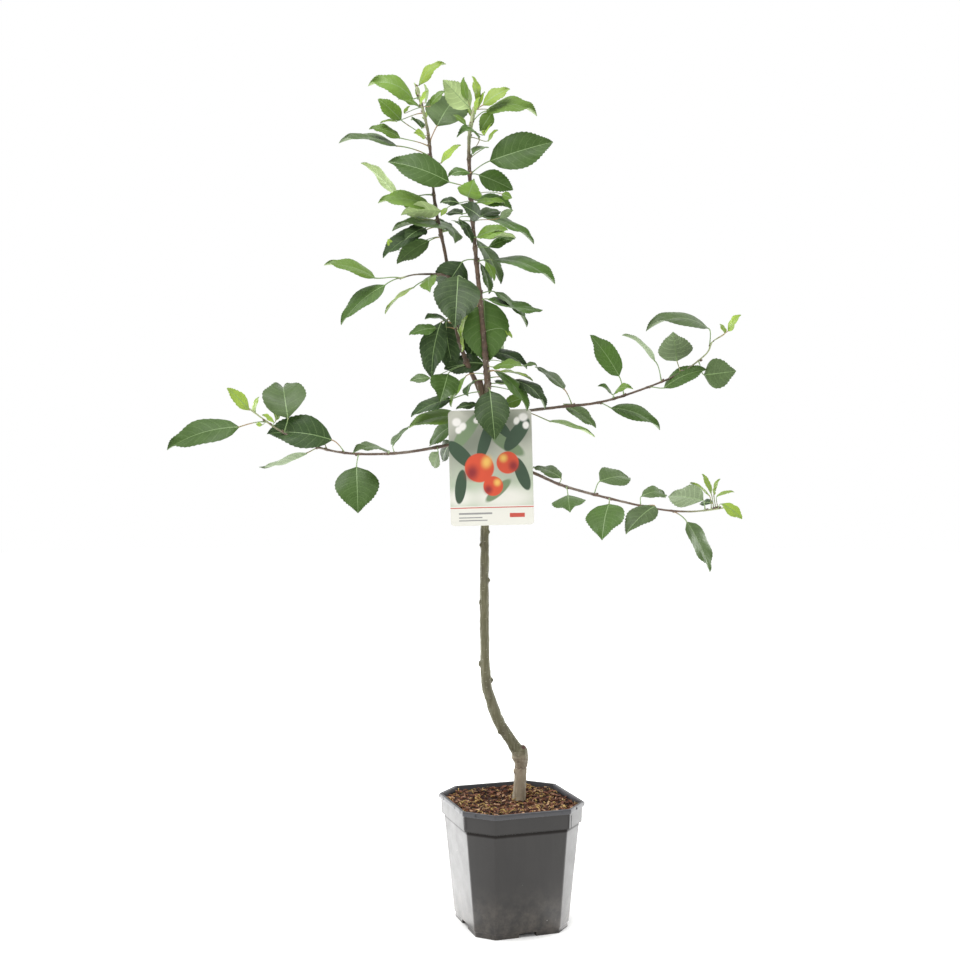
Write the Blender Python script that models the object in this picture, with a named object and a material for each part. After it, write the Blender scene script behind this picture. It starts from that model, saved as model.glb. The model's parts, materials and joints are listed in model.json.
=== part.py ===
"""Dwarf apple tree in a square nursery pot: pot, growing medium, limbs, leaf masses and label."""
import math

import bmesh
import bpy
from mathutils import Matrix, Vector

# Clearances, in metres
GAP = 0.0003
MASS_GAP = 0.0006

# Pot, in metres: a tapered square with cut corners, turned a little about its upright axis
POT_HEIGHT = 0.187
POT_TURN = math.radians(18.5)
RIM_SIDE = 0.190
RIM_CUT = 0.0367
FOOT_SIDE = 0.148
FOOT_CUT = 0.0243
CUT_SHARE = 2 - math.sqrt(2)
CORNER_RADIUS = 0.005
WALL = 0.0022
FLOOR = 0.003
LIP_HEIGHT = 0.007
LIP_PROUD = 0.002
COLLAR_HEIGHT = 0.030
COLLAR_STEP = 0.0035
COLLAR_DRAFT = 0.0012
FOOT_HEIGHT = 0.007
FOOT_INSET = 0.0015
FOOT_WIDTH = 0.008
PAD_SIDE = 0.050
NOTCH_WIDTH = 0.027
NOTCH_HEIGHT = 0.006
DRAIN_RADIUS = 0.006
DRAIN_REACH = 0.045

# Growing medium
SOIL_BELOW_RIM = 0.013
SOIL_DIP = 0.0025
SOIL_LEVEL_REACH = 0.020
SOIL_RINGS = (0.75, 0.50, 0.25, 0.08)

# Trunk: foot on the growing medium, graft bend, then nearly upright to the fork
SOIL_TOP = POT_HEIGHT - SOIL_BELOW_RIM
TRUNK_FOOT = SOIL_TOP + GAP
FORK_HEIGHT = 0.779
TRUNK_ROUTE = (
    (0.013, 0.030, TRUNK_FOOT), (0.015, 0.030, 0.213), (0.015, 0.028, 0.241), (0.004, 0.026, 0.262),
    (-0.016, 0.022, 0.293), (-0.030, 0.018, 0.330), (-0.038, 0.014, 0.369), (-0.040, 0.010, 0.480),
    (-0.039, 0.010, 0.600), (-0.039, 0.010, FORK_HEIGHT),
)
TRUNK_FOOT_RADIUS = 0.0096
TRUNK_TOP_RADIUS = 0.0064
TRUNK_WAIST = 0.35
FLARE = 0.0040
FLARE_HEIGHT = 0.009
UNION_HEIGHT = 0.243
UNION_SWELL = 0.0042
UNION_SPREAD = 0.009

# Limbs: foot radius, tip radius, and a route of a few points, all in metres
LIMBS = {
    "right_leader": (0.0050, 0.0011, (
        (-0.039, 0.010, FORK_HEIGHT + GAP), (-0.035, 0.006, 0.799), (-0.038, -0.004, 0.844),
        (-0.049, -0.014, 0.961), (-0.058, -0.018, 1.057), (-0.063, -0.016, 1.161), (-0.055, -0.012, 1.217))),
    "left_leader": (0.0046, 0.0010, (
        (-0.039, 0.010, 0.782), (-0.050, 0.013, 0.806), (-0.068, 0.018, 0.845), (-0.081, 0.022, 0.891),
        (-0.098, 0.020, 1.000), (-0.114, 0.012, 1.078), (-0.124, 0.006, 1.182), (-0.141, 0.002, 1.251))),
    "left_bough": (0.0030, 0.0011, (
        (-0.039, 0.010, 0.729), (-0.074, 0.018, 0.721), (-0.168, 0.026, 0.705), (-0.259, 0.022, 0.706),
        (-0.333, 0.008, 0.730), (-0.393, -0.010, 0.772))),
    "right_upper_bough": (0.0030, 0.0011, (
        (-0.039, 0.010, 0.755), (-0.002, 0.018, 0.765), (0.072, 0.040, 0.775), (0.150, 0.056, 0.786),
        (0.250, 0.066, 0.822), (0.300, 0.066, 0.855), (0.312, 0.064, 0.876))),
    "right_lower_bough": (0.0030, 0.0011, (
        (-0.039, 0.010, 0.695), (-0.001, 0.012, 0.688), (0.038, 0.000, 0.673), (0.086, -0.026, 0.653),
        (0.190, -0.072, 0.627), (0.250, -0.088, 0.620), (0.305, -0.098, 0.626))),
    "left_spur": (0.0020, 0.0010, (
        (-0.096, 0.021, 0.974), (-0.112, 0.018, 0.975), (-0.145, 0.010, 0.973), (-0.166, 0.006, 0.967))),
    "front_shoot": (0.0024, 0.0010, (
        (-0.084, 0.022, 0.905), (-0.082, -0.010, 0.918), (-0.078, -0.070, 0.937), (-0.068, -0.140, 0.946))),
    "back_shoot": (0.0024, 0.0010, (
        (-0.041, -0.008, 0.880), (-0.040, 0.030, 0.893), (-0.034, 0.090, 0.915), (-0.026, 0.170, 0.930))),
}
# What each limb grows on, so that its foot is cut to stand just clear of it
GROWS_ON = {
    "right_leader": (), "left_leader": ("trunk", "right_leader"), "left_bough": ("trunk",),
    "right_upper_bough": ("trunk",), "right_lower_bough": ("trunk",), "left_spur": ("left_leader",),
    "front_shoot": ("left_leader",), "back_shoot": ("right_leader",),
}
STATION_SPACING = 0.030
LIMB_SIDES = 8

# Leaf masses: carrier limb, where the mass starts and ends along it as parts of its length, and its
# sprays of leaves. A spray is (part of the limb's length, reach right, reach back, reach up, width).
SPRAY_THICKNESS = 0.009
STALK_RADIUS = 0.0036
STALK_PART = 0.22
ARCH_PART = 0.14
CORE_RADIUS = 0.0095
SMOOTHING_CELL = 0.0036
MASS_FACES = 165
MASSES = {
    "leaves_left_crown_tip": ("left_leader", 0.80, 0.99, (
        (0.97, 0.043, 0.030, 0.040, 0.018), (0.93, -0.079, -0.040, 0.028, 0.030),
        (0.82, -0.076, 0.030, 0.070, 0.026), (0.86, 0.056, -0.050, 0.040, 0.040),
        (0.84, 0.020, 0.080, 0.020, 0.030))),
    "leaves_left_upper": ("left_leader", 0.60, 0.77, (
        (0.77, -0.134, 0.020, 0.014, 0.018), (0.70, -0.109, 0.040, 0.040, 0.018),
        (0.63, -0.088, -0.030, 0.003, 0.030), (0.62, -0.030, -0.080, -0.010, 0.030),
        (0.68, 0.010, 0.090, 0.000, 0.034))),
    "leaves_left_middle": ("left_leader", 0.41, 0.57, (
        (0.56, -0.088, -0.030, -0.054, 0.024), (0.50, -0.077, 0.040, -0.039, 0.025),
        (0.44, 0.010, 0.085, -0.030, 0.040))),
    "leaves_left_lower": ("left_leader", 0.18, 0.36, (
        (0.24, -0.080, 0.010, -0.020, 0.024), (0.33, -0.045, -0.060, -0.020, 0.026),
        (0.20, -0.030, -0.045, -0.080, 0.037), (0.30, -0.030, 0.085, -0.030, 0.040))),
    "leaves_left_base": ("left_leader", 0.06, 0.15, (
        (0.12, -0.050, -0.030, -0.045, 0.035), (0.14, -0.084, 0.020, -0.031, 0.016),
        (0.08, -0.040, 0.070, -0.030, 0.034))),
    "leaves_right_crown_tip": ("right_leader", 0.87, 0.99, (
        (0.99, -0.030, 0.030, 0.052, 0.034), (0.99, 0.000, -0.030, 0.050, 0.016),
        (0.98, 0.054, 0.020, 0.027, 0.018), (0.92, 0.100, -0.020, 0.018, 0.030),
        (0.90, 0.020, 0.085, 0.010, 0.030))),
    "leaves_right_upper": ("right_leader", 0.64, 0.83, (
        (0.78, 0.122, 0.020, 0.046, 0.052), (0.71, -0.100, -0.060, 0.057, 0.036),
        (0.73, 0.020, -0.085, 0.010, 0.032), (0.66, 0.065, -0.040, 0.004, 0.030),
        (0.70, 0.030, 0.090, 0.000, 0.034))),
    "leaves_right_middle": ("right_leader", 0.41, 0.60, (
        (0.58, 0.091, -0.030, -0.048, 0.022), (0.50, 0.040, -0.060, -0.050, 0.026),
        (0.47, 0.116, 0.030, -0.031, 0.018), (0.55, 0.030, 0.090, -0.010, 0.034))),
    "leaves_right_lower": ("right_leader", 0.26, 0.37, (
        (0.33, 0.073, 0.020, -0.058, 0.016), (0.36, 0.092, -0.020, -0.018, 0.016),
        (0.28, -0.010, -0.060, -0.060, 0.040))),
    "leaves_heart": ("right_leader", 0.05, 0.18, (
        (0.16, 0.060, -0.030, -0.036, 0.020), (0.10, 0.086, 0.030, -0.045, 0.026),
        (0.07, 0.008, -0.055, -0.070, 0.048), (0.08, 0.010, 0.070, -0.030, 0.034))),
    "leaves_spur": ("left_spur", 0.55, 0.97, (
        (0.93, -0.115, 0.010, 0.022, 0.024), (0.88, -0.088, -0.040, -0.060, 0.026))),
    "leaves_front_shoot": ("front_shoot", 0.42, 0.97, (
        (0.55, -0.005, -0.020, -0.082, 0.052), (0.80, -0.060, -0.045, 0.010, 0.034),
        (0.90, 0.062, -0.030, -0.015, 0.034), (0.96, 0.010, -0.075, 0.030, 0.030))),
    "leaves_back_shoot": ("back_shoot", 0.42, 0.97, (
        (0.55, 0.020, 0.030, -0.075, 0.046), (0.78, -0.070, 0.030, -0.010, 0.036),
        (0.86, 0.068, 0.030, 0.010, 0.036), (0.96, -0.015, 0.080, 0.020, 0.030))),
    "leaves_left_bough_inner": ("left_bough", 0.17, 0.34, (
        (0.19, -0.050, -0.035, 0.026, 0.024), (0.21, -0.010, -0.035, -0.034, 0.024),
        (0.32, 0.010, 0.030, 0.037, 0.014), (0.28, -0.020, 0.075, -0.010, 0.030))),
    "leaves_left_bough_middle": ("left_bough", 0.42, 0.62, (
        (0.44, -0.045, 0.060, 0.010, 0.022), (0.53, 0.000, -0.025, -0.083, 0.058),
        (0.60, -0.112, -0.030, 0.020, 0.044))),
    "leaves_left_bough_outer": ("left_bough", 0.69, 0.76, (
        (0.73, -0.074, 0.035, -0.034, 0.016),)),
    "leaves_left_bough_tip": ("left_bough", 0.82, 0.98, (
        (0.84, 0.004, 0.036, 0.064, 0.052), (0.92, -0.146, 0.000, -0.036, 0.036),
        (0.97, -0.036, -0.030, 0.030, 0.018))),
    "leaves_right_upper_inner": ("right_upper_bough", 0.20, 0.36, (
        (0.21, 0.085, -0.040, -0.048, 0.014), (0.35, -0.050, -0.020, 0.052, 0.018),
        (0.30, 0.010, 0.080, 0.010, 0.030))),
    "leaves_right_upper_middle": ("right_upper_bough", 0.44, 0.62, (
        (0.56, -0.050, 0.020, 0.082, 0.030), (0.46, 0.092, -0.030, -0.042, 0.024),
        (0.60, 0.088, -0.030, 0.026, 0.024), (0.52, 0.010, 0.080, -0.010, 0.030))),
    "leaves_right_upper_tip": ("right_upper_bough", 0.78, 0.98, (
        (0.95, -0.100, 0.020, 0.034, 0.026), (0.86, -0.045, -0.045, 0.010, 0.042),
        (0.90, 0.040, -0.030, -0.045, 0.036), (0.97, 0.028, 0.020, 0.034, 0.014))),
    "leaves_right_lower_inner": ("right_lower_bough", 0.22, 0.38, (
        (0.25, 0.045, 0.040, 0.018, 0.024), (0.34, -0.020, -0.045, -0.036, 0.026))),
    "leaves_right_lower_middle": ("right_lower_bough", 0.46, 0.70, (
        (0.48, 0.045, 0.040, 0.036, 0.032), (0.54, -0.006, -0.030, -0.063, 0.050),
        (0.69, -0.030, -0.050, -0.040, 0.040))),
    "leaves_right_lower_outer": ("right_lower_bough", 0.76, 0.87, (
        (0.80, 0.020, -0.055, 0.026, 0.030), (0.84, 0.050, 0.040, 0.014, 0.030),
        (0.82, 0.058, 0.000, -0.091, 0.024))),
    "leaves_right_lower_tip": ("right_lower_bough", 0.93, 0.98, (
        (0.97, -0.014, 0.030, 0.034, 0.014), (0.97, 0.010, -0.030, 0.030, 0.014),
        (0.97, 0.045, -0.010, -0.020, 0.018))),
}

# Label card hung in front of the trunk, and the strap that holds it
LABEL_WIDTH = 0.124
LABEL_HEIGHT = 0.172
LABEL_THICKNESS = 0.0012
LABEL_CORNER = 0.006
LABEL_CENTRE = (-0.0300, -0.0130, 0.6828)
LABEL_TILT = math.radians(-1.5)
STRAP_HEIGHT = 0.0060
STRAP_THICKNESS = 0.0010
STRAP_CENTRE = 0.7690
STRAP_TAIL = 0.034
ARC_STEPS = 4


def clear_scene():
    """Remove everything that the start-up scene holds."""
    for thing in list(bpy.data.objects):
        bpy.data.objects.remove(thing, do_unlink=True)


def finish(name, colour, roughness, metallic=0.0):
    """A Principled material with one colour."""
    material = bpy.data.materials.new(name)
    material.use_nodes = True
    shader = material.node_tree.nodes["Principled BSDF"]
    shader.inputs["Base Color"].default_value = (*colour, 1.0)
    shader.inputs["Roughness"].default_value = roughness
    shader.inputs["Metallic"].default_value = metallic
    return material


def object_from(name, shape, material=None):
    """An object at the origin whose mesh is the given bmesh, with faces turned outwards."""
    bmesh.ops.recalc_face_normals(shape, faces=shape.faces)
    mesh = bpy.data.meshes.new(name)
    shape.to_mesh(mesh)
    shape.free()
    thing = bpy.data.objects.new(name, mesh)
    bpy.context.scene.collection.objects.link(thing)
    if material is not None:
        mesh.materials.append(material)
    return thing


def as_cutter(thing):
    """Mark an object as a cutter, which only shapes its neighbours."""
    thing.hide_render = True
    thing.display_type = "WIRE"
    return thing


def cut(thing, cutter):
    """Take a cutter's shape out of an object."""
    modifier = thing.modifiers.new("cut_" + cutter.name, "BOOLEAN")
    modifier.operation = "DIFFERENCE"
    modifier.solver = "EXACT"
    modifier.object = cutter


def settle(thing):
    """Turn an object's modifiers into its own mesh."""
    bpy.context.view_layer.update()
    graph = bpy.context.evaluated_depsgraph_get()
    shaped = bpy.data.meshes.new_from_object(thing.evaluated_get(graph))
    thing.modifiers.clear()
    thing.data = shaped


def loft(shape, rings):
    """Join rings of equally many points with faces, and close both ends."""
    loops = [[shape.verts.new(point) for point in ring] for ring in rings]
    for lower, upper in zip(loops, loops[1:]):
        count = len(lower)
        for i in range(count):
            j = (i + 1) % count
            shape.faces.new((lower[i], lower[j], upper[j], upper[i]))
    shape.faces.new(list(reversed(loops[0])))
    shape.faces.new(loops[-1])


def pot_outline(side, corner_cut, height):
    """A level outline of the pot: a square with cut corners, each corner softened by a short arc."""
    half = side / 2
    inner = half - corner_cut
    corners = []
    for turn in range(4):
        angle = turn * math.pi / 2
        for x, y in ((inner, -half), (half, -inner)):
            corners.append(Matrix.Rotation(angle + POT_TURN, 3, "Z") @ Vector((x, y, 0.0)))
    bend = math.pi / 8
    points = []
    for i, corner in enumerate(corners):
        before = (corner - corners[i - 1]).normalized()
        after = (corners[(i + 1) % 8] - corner).normalized()
        inward = (after - before).normalized()
        reach = CORNER_RADIUS * math.tan(bend)
        points.append(corner - before * reach)
        points.append(corner + inward * CORNER_RADIUS * (1 / math.cos(bend) - 1))
        points.append(corner + after * reach)
    return [(p.x, p.y, height) for p in points]


def body_section(height, inset=0.0):
    """Side and corner cut of the pot's tapering body at a height, moved in by an inset."""
    step = LIP_PROUD + COLLAR_DRAFT + COLLAR_STEP
    part = (height - FOOT_HEIGHT) / (POT_HEIGHT - COLLAR_HEIGHT - FOOT_HEIGHT)
    side = FOOT_SIDE + (RIM_SIDE - 2 * step - FOOT_SIDE) * part
    corner_cut = FOOT_CUT + (RIM_CUT - CUT_SHARE * step - FOOT_CUT) * part
    return side - 2 * inset, corner_cut - CUT_SHARE * inset


def collar_section(height, inset=0.0):
    """Side and corner cut of the collar under the lip at a height, moved in by an inset."""
    drop = (POT_HEIGHT - LIP_HEIGHT - height) / (COLLAR_HEIGHT - LIP_HEIGHT)
    move = LIP_PROUD + COLLAR_DRAFT * drop + inset
    return RIM_SIDE - 2 * move, RIM_CUT - CUT_SHARE * move


def pot_cutters():
    """Drain notches in the foot and drain holes in the floor."""
    cutters = []
    for turn in range(4):
        spin = Matrix.Rotation(POT_TURN + turn * math.pi / 2, 4, "Z")
        notch = bmesh.new()
        reach = Matrix.Translation((FOOT_SIDE / 2 - FOOT_WIDTH / 2, 0.0, NOTCH_HEIGHT / 2 - 0.001))
        size = Matrix.Diagonal((FOOT_WIDTH * 2, NOTCH_WIDTH, NOTCH_HEIGHT + 0.002, 1.0))
        bmesh.ops.create_cube(notch, size=1.0, matrix=spin @ reach @ size)
        cutters.append(as_cutter(object_from(f"notch_{turn}", notch)))
        drain = bmesh.new()
        spot = Matrix.Rotation(math.pi / 4, 4, "Z") @ Matrix.Translation((DRAIN_REACH, 0.0, FOOT_HEIGHT))
        bmesh.ops.create_cone(drain, cap_ends=True, segments=10, radius1=DRAIN_RADIUS,
                              radius2=DRAIN_RADIUS, depth=4 * FLOOR, matrix=spin @ spot)
        cutters.append(as_cutter(object_from(f"drain_{turn}", drain)))
    return cutters


def make_pot():
    """The nursery pot: foot ring with notches, tapering walls, collar and lip, open at the top."""
    collar_foot = POT_HEIGHT - COLLAR_HEIGHT
    lip_foot = POT_HEIGHT - LIP_HEIGHT
    foot_side, foot_cut = body_section(FOOT_HEIGHT, FOOT_INSET)
    ring_side, ring_cut = body_section(FOOT_HEIGHT, FOOT_INSET + FOOT_WIDTH)
    pad_cut = PAD_SIDE / 4
    rings = [
        pot_outline(PAD_SIDE, pad_cut, 0.0),
        pot_outline(PAD_SIDE, pad_cut, FOOT_HEIGHT),
        pot_outline(ring_side, ring_cut, FOOT_HEIGHT),
        pot_outline(ring_side, ring_cut, 0.0),
        pot_outline(foot_side, foot_cut, 0.0),
        pot_outline(foot_side, foot_cut, FOOT_HEIGHT),
        pot_outline(*body_section(FOOT_HEIGHT + FOOT_INSET), FOOT_HEIGHT + FOOT_INSET),
        pot_outline(*body_section(collar_foot), collar_foot),
        pot_outline(*collar_section(collar_foot), collar_foot),
        pot_outline(*collar_section(lip_foot), lip_foot),
        pot_outline(RIM_SIDE, RIM_CUT, lip_foot),
        pot_outline(RIM_SIDE, RIM_CUT, POT_HEIGHT),
        pot_outline(*collar_section(lip_foot, WALL), POT_HEIGHT),
        pot_outline(*collar_section(collar_foot, WALL), collar_foot),
        pot_outline(*body_section(collar_foot - WALL, WALL), collar_foot - WALL),
        pot_outline(*body_section(FOOT_HEIGHT + FLOOR, WALL), FOOT_HEIGHT + FLOOR),
    ]
    shape = bmesh.new()
    loft(shape, rings)
    pot = object_from("pot", shape, finish("pot_plastic", (0.055, 0.050, 0.048), 0.42))
    for cutter in pot_cutters():
        cut(pot, cutter)
    return pot


def make_soil():
    """The growing medium: a plug that fills the pot, flat under the trunk and dipping elsewhere."""
    collar_foot = POT_HEIGHT - COLLAR_HEIGHT
    clear = WALL + GAP
    trunk_foot = Vector(TRUNK_ROUTE[0])
    floor = FOOT_HEIGHT + FLOOR + GAP
    edge = pot_outline(*collar_section(SOIL_TOP, clear), SOIL_TOP)
    rings = [
        pot_outline(*body_section(floor, clear), floor),
        pot_outline(*body_section(collar_foot - WALL, clear), collar_foot - WALL),
        pot_outline(*collar_section(collar_foot + GAP, clear), collar_foot + GAP),
        [(x, y, z - SOIL_DIP) for x, y, z in edge],
    ]
    for part in SOIL_RINGS:
        ring = []
        for x, y, z in edge:
            place = Vector((x, y, z)).lerp(trunk_foot, 1 - part)
            away = min(1.0, max(0.0, (place - trunk_foot).length / SOIL_LEVEL_REACH - 1))
            wave = 0.5 + 0.5 * math.sin(110 * place.x + 70 * place.y)
            ring.append((place.x, place.y, SOIL_TOP - SOIL_DIP * away * wave))
        rings.append(ring)
    shape = bmesh.new()
    loft(shape, rings)
    return object_from("growing_medium", shape, finish("bark_compost", (0.070, 0.042, 0.027), 0.95))


def curve_point(points, segment, part):
    """A point on the Catmull-Rom curve through the points, and its ends carried on straight."""
    p1 = points[segment]
    p2 = points[segment + 1]
    p0 = points[segment - 1] if segment > 0 else p1 * 2 - p2
    p3 = points[segment + 2] if segment + 2 < len(points) else p2 * 2 - p1
    a = p1 * 2
    b = (p2 - p0) * part
    c = (p0 * 2 - p1 * 5 + p2 * 4 - p3) * part ** 2
    d = (p1 * 3 - p0 - p2 * 3 + p3) * part ** 3
    return (a + b + c + d) / 2


def smooth_route(points, spacing=STATION_SPACING):
    """Evenly spaced stations on the smooth curve through a route's points."""
    knots = [Vector(point) for point in points]
    fine = [curve_point(knots, i, k / 12) for i in range(len(knots) - 1) for k in range(12)]
    fine.append(knots[-1])
    lengths = [0.0]
    for before, after in zip(fine, fine[1:]):
        lengths.append(lengths[-1] + (after - before).length)
    count = max(4, round(lengths[-1] / spacing))
    stations = []
    k = 0
    for i in range(count + 1):
        want = lengths[-1] * i / count
        while k < len(lengths) - 2 and lengths[k + 1] < want:
            k += 1
        part = (want - lengths[k]) / (lengths[k + 1] - lengths[k])
        stations.append(fine[k].lerp(fine[k + 1], part))
    return stations


def station_at(stations, part):
    """The point that lies a part of the way along evenly spaced stations."""
    place = min(max(part, 0.0), 1.0) * (len(stations) - 1)
    k = min(int(place), len(stations) - 2)
    return stations[k].lerp(stations[k + 1], place - k)


def tube_rings(stations, radii, sides, level_foot=False):
    """Rings round a path, carried along it without twisting."""
    last = len(stations) - 1
    along = []
    for i in range(len(stations)):
        along.append((stations[min(i + 1, last)] - stations[max(i - 1, 0)]).normalized())
    if level_foot:
        along[0] = Vector((0.0, 0.0, 1.0))
    across = along[0].orthogonal().normalized()
    rings = []
    for centre, axis, radius in zip(stations, along, radii):
        across = (across - axis * across.dot(axis)).normalized()
        other = axis.cross(across)
        ring = []
        for i in range(sides):
            angle = 2 * math.pi * i / sides
            ring.append(centre + (across * math.cos(angle) + other * math.sin(angle)) * radius)
        rings.append(ring)
    return rings


def trunk_radius(height):
    """The trunk's radius at a height: taper, flare at the foot and swelling at the graft union."""
    part = (height - TRUNK_FOOT) / (FORK_HEIGHT - TRUNK_FOOT)
    upper = TRUNK_TOP_RADIUS + (TRUNK_FOOT_RADIUS - TRUNK_TOP_RADIUS) * 0.2 * (1 - part)
    taper = upper + (TRUNK_FOOT_RADIUS - upper) * max(0.0, 1 - part / TRUNK_WAIST) ** 0.6
    flare = FLARE * math.exp(-(height - TRUNK_FOOT) / FLARE_HEIGHT)
    union = UNION_SWELL * math.exp(-((height - UNION_HEIGHT) / UNION_SPREAD) ** 2)
    return taper + flare + union


def trunk_shape(extra=0.0):
    """The trunk as a tube with close stations at the flare and the union, made thicker by extra."""
    dense = smooth_route(TRUNK_ROUTE, 0.009)
    stations = [p for i, p in enumerate(dense) if p.z < 0.30 or i % 4 == 0 or i == len(dense) - 1]
    radii = [trunk_radius(p.z) + extra for p in stations]
    if extra:
        stations[-1] = stations[-1] + Vector((0.0, 0.0, extra))
    shape = bmesh.new()
    loft(shape, tube_rings(stations, radii, 10, level_foot=True))
    return shape


def limb_shape(name, extra=0.0):
    """One tapering limb as a tube, made thicker and longer at its tip by extra."""
    foot, tip, route = LIMBS[name]
    stations = smooth_route(route)
    last = len(stations) - 1
    radii = [foot + (tip - foot) * (i / last) ** 0.8 + extra for i in range(last + 1)]
    if extra:
        stations[-1] = stations[-1] + (stations[-1] - stations[-2]).normalized() * extra
    shape = bmesh.new()
    loft(shape, tube_rings(stations, radii, LIMB_SIDES, level_foot=name == "right_leader"))
    return shape


def make_limbs():
    """Trunk and limbs, each limb cut to stand just clear of what it grows on, and their cutters."""
    bark = finish("bark", (0.150, 0.125, 0.085), 0.8)
    young = finish("young_bark", (0.115, 0.062, 0.040), 0.7)
    object_from("trunk", trunk_shape(), bark)
    room = {"trunk": as_cutter(object_from("room_trunk", trunk_shape(GAP)))}
    for name in LIMBS:
        room[name] = as_cutter(object_from("room_" + name, limb_shape(name, GAP)))
        limb = object_from(name, limb_shape(name), young)
        for parent in GROWS_ON[name]:
            cut(limb, room[parent])
        settle(limb)
        keep_largest(limb)
    return room


def spray_rings(foot, reach, width):
    """Rings of one flattened spray: a thin stalk, then a blade that arches over to its tip."""
    length = reach.length
    axis = reach.normalized()
    side = axis.cross(Vector((0.0, 0.0, 1.0))).normalized()
    if side.y < 0:
        side.negate()
    side = side + Vector((0.0, 0.0, 0.9 * abs(side.y)))
    side = (side - axis * side.dot(axis)).normalized()
    thick = axis.cross(side)
    rings = []
    for i in range(11):
        part = i / 10
        swell = max(0.0, (part - STALK_PART) / (1 - STALK_PART))
        bulge = math.sin(math.pi * swell ** 0.75) if swell > 0 else 0.0
        half = max(STALK_RADIUS, width / 2 * bulge)
        deep = STALK_RADIUS + (SPRAY_THICKNESS / 2 - STALK_RADIUS) * bulge
        arch = Vector((0.0, 0.0, ARCH_PART * length * math.sin(math.pi * part)))
        centre = foot + reach * part + arch
        ring = []
        for k in range(8):
            angle = 2 * math.pi * k / 8
            ring.append(centre + side * half * math.cos(angle) + thick * deep * math.sin(angle))
        rings.append(ring)
    return rings


def add_closed(shape, rings):
    """Add a closed loft to a shape, with its faces turned outwards."""
    piece = bmesh.new()
    loft(piece, rings)
    bmesh.ops.recalc_face_normals(piece, faces=piece.faces)
    mesh = bpy.data.meshes.new("piece")
    piece.to_mesh(mesh)
    piece.free()
    shape.from_mesh(mesh)
    bpy.data.meshes.remove(mesh)


def keep_largest(thing):
    """Keep only an object's largest closed body, clean of stray edges."""
    shape = bmesh.new()
    shape.from_mesh(thing.data)
    bmesh.ops.remove_doubles(shape, verts=shape.verts, dist=0.00002)
    bmesh.ops.dissolve_degenerate(shape, edges=shape.edges, dist=0.00002)
    bmesh.ops.triangulate(shape, faces=shape.faces)
    seen = set()
    bodies = []
    for start in shape.faces:
        if start in seen:
            continue
        body = {start}
        front = [start]
        while front:
            face = front.pop()
            for edge in face.edges:
                for other in edge.link_faces:
                    if other not in body:
                        body.add(other)
                        front.append(other)
        seen |= body
        bodies.append(body)
    largest = max(bodies, key=lambda body: sum(face.calc_area() for face in body))
    spare = [face for face in shape.faces if face not in largest]
    bmesh.ops.delete(shape, geom=spare, context="FACES")
    shape.to_mesh(thing.data)
    shape.free()


def mass_object(name):
    """One leaf mass before it is cut round the limbs: a core on its limb and sprays that leave it."""
    carrier, start, end, sprays = MASSES[name]
    stations = smooth_route(LIMBS[carrier][2])
    core = [station_at(stations, start + (end - start) * i / 4) for i in range(5)]
    shape = bmesh.new()
    swell = (0.75, 1.0, 1.1, 1.0, 0.75)
    add_closed(shape, tube_rings(core, [CORE_RADIUS * s for s in swell], 8))
    for part, right, back, up, width in sprays:
        foot = station_at(stations, part)
        add_closed(shape, spray_rings(foot, Vector((right, back, up)), width))
    mass = object_from(name, shape)
    blend = mass.modifiers.new("blend", "REMESH")
    blend.mode = "VOXEL"
    blend.voxel_size = SMOOTHING_CELL
    settle(mass)
    facets = mass.modifiers.new("facets", "DECIMATE")
    facets.ratio = MASS_FACES / (2 * len(mass.data.polygons))
    settle(mass)
    return mass


def grown(mass):
    """A cutter a little larger than a mass, for the masses that come after it."""
    shape = bmesh.new()
    shape.from_mesh(mass.data)
    bmesh.ops.recalc_face_normals(shape, faces=shape.faces)
    shape.normal_update()
    moves = [(vertex, vertex.normal.copy()) for vertex in shape.verts]
    for vertex, normal in moves:
        vertex.co += normal * MASS_GAP
    return as_cutter(object_from("room_" + mass.name, shape))


def boxes_meet(first, second):
    """Whether the boxes round two objects' meshes meet."""
    for axis in range(3):
        a = [vertex.co[axis] for vertex in first.data.vertices]
        b = [vertex.co[axis] for vertex in second.data.vertices]
        if max(a) < min(b) or max(b) < min(a):
            return False
    return True


def make_masses(rooms):
    """The leaf masses, each cut round the limbs and clear of the masses made before it."""
    leaf = finish("leaf", (0.085, 0.170, 0.055), 0.55)
    for name in MASSES:
        mass = mass_object(name)
        room = grown(mass)
        for other in rooms:
            if boxes_meet(mass, other):
                cut(mass, other)
                settle(mass)
        keep_largest(mass)
        mass.data.materials.clear()
        mass.data.materials.append(leaf)
        rooms.append(room)


def label_outline(width, height):
    """A rectangle with round corners in the label's own plane, as (across, up) pairs."""
    points = []
    for quarter in range(4):
        angle = quarter * math.pi / 2
        cx = (width / 2 - LABEL_CORNER) * (1 if quarter in (0, 3) else -1)
        cz = (height / 2 - LABEL_CORNER) * (1 if quarter in (0, 1) else -1)
        for step in range(ARC_STEPS + 1):
            turn = angle + math.pi / 2 * step / ARC_STEPS
            points.append((cx + LABEL_CORNER * math.cos(turn), cz + LABEL_CORNER * math.sin(turn)))
    return points


def label_shape(extra=0.0):
    """The label card, made larger all round by extra."""
    place = Matrix.Translation(LABEL_CENTRE) @ Matrix.Rotation(LABEL_TILT, 4, "Y")
    half = LABEL_THICKNESS / 2 + extra
    outline = label_outline(LABEL_WIDTH + 2 * extra, LABEL_HEIGHT + 2 * extra)
    rings = [[place @ Vector((x, y, z)) for x, z in outline] for y in (half, -half)]
    shape = bmesh.new()
    loft(shape, rings)
    return shape


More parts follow.
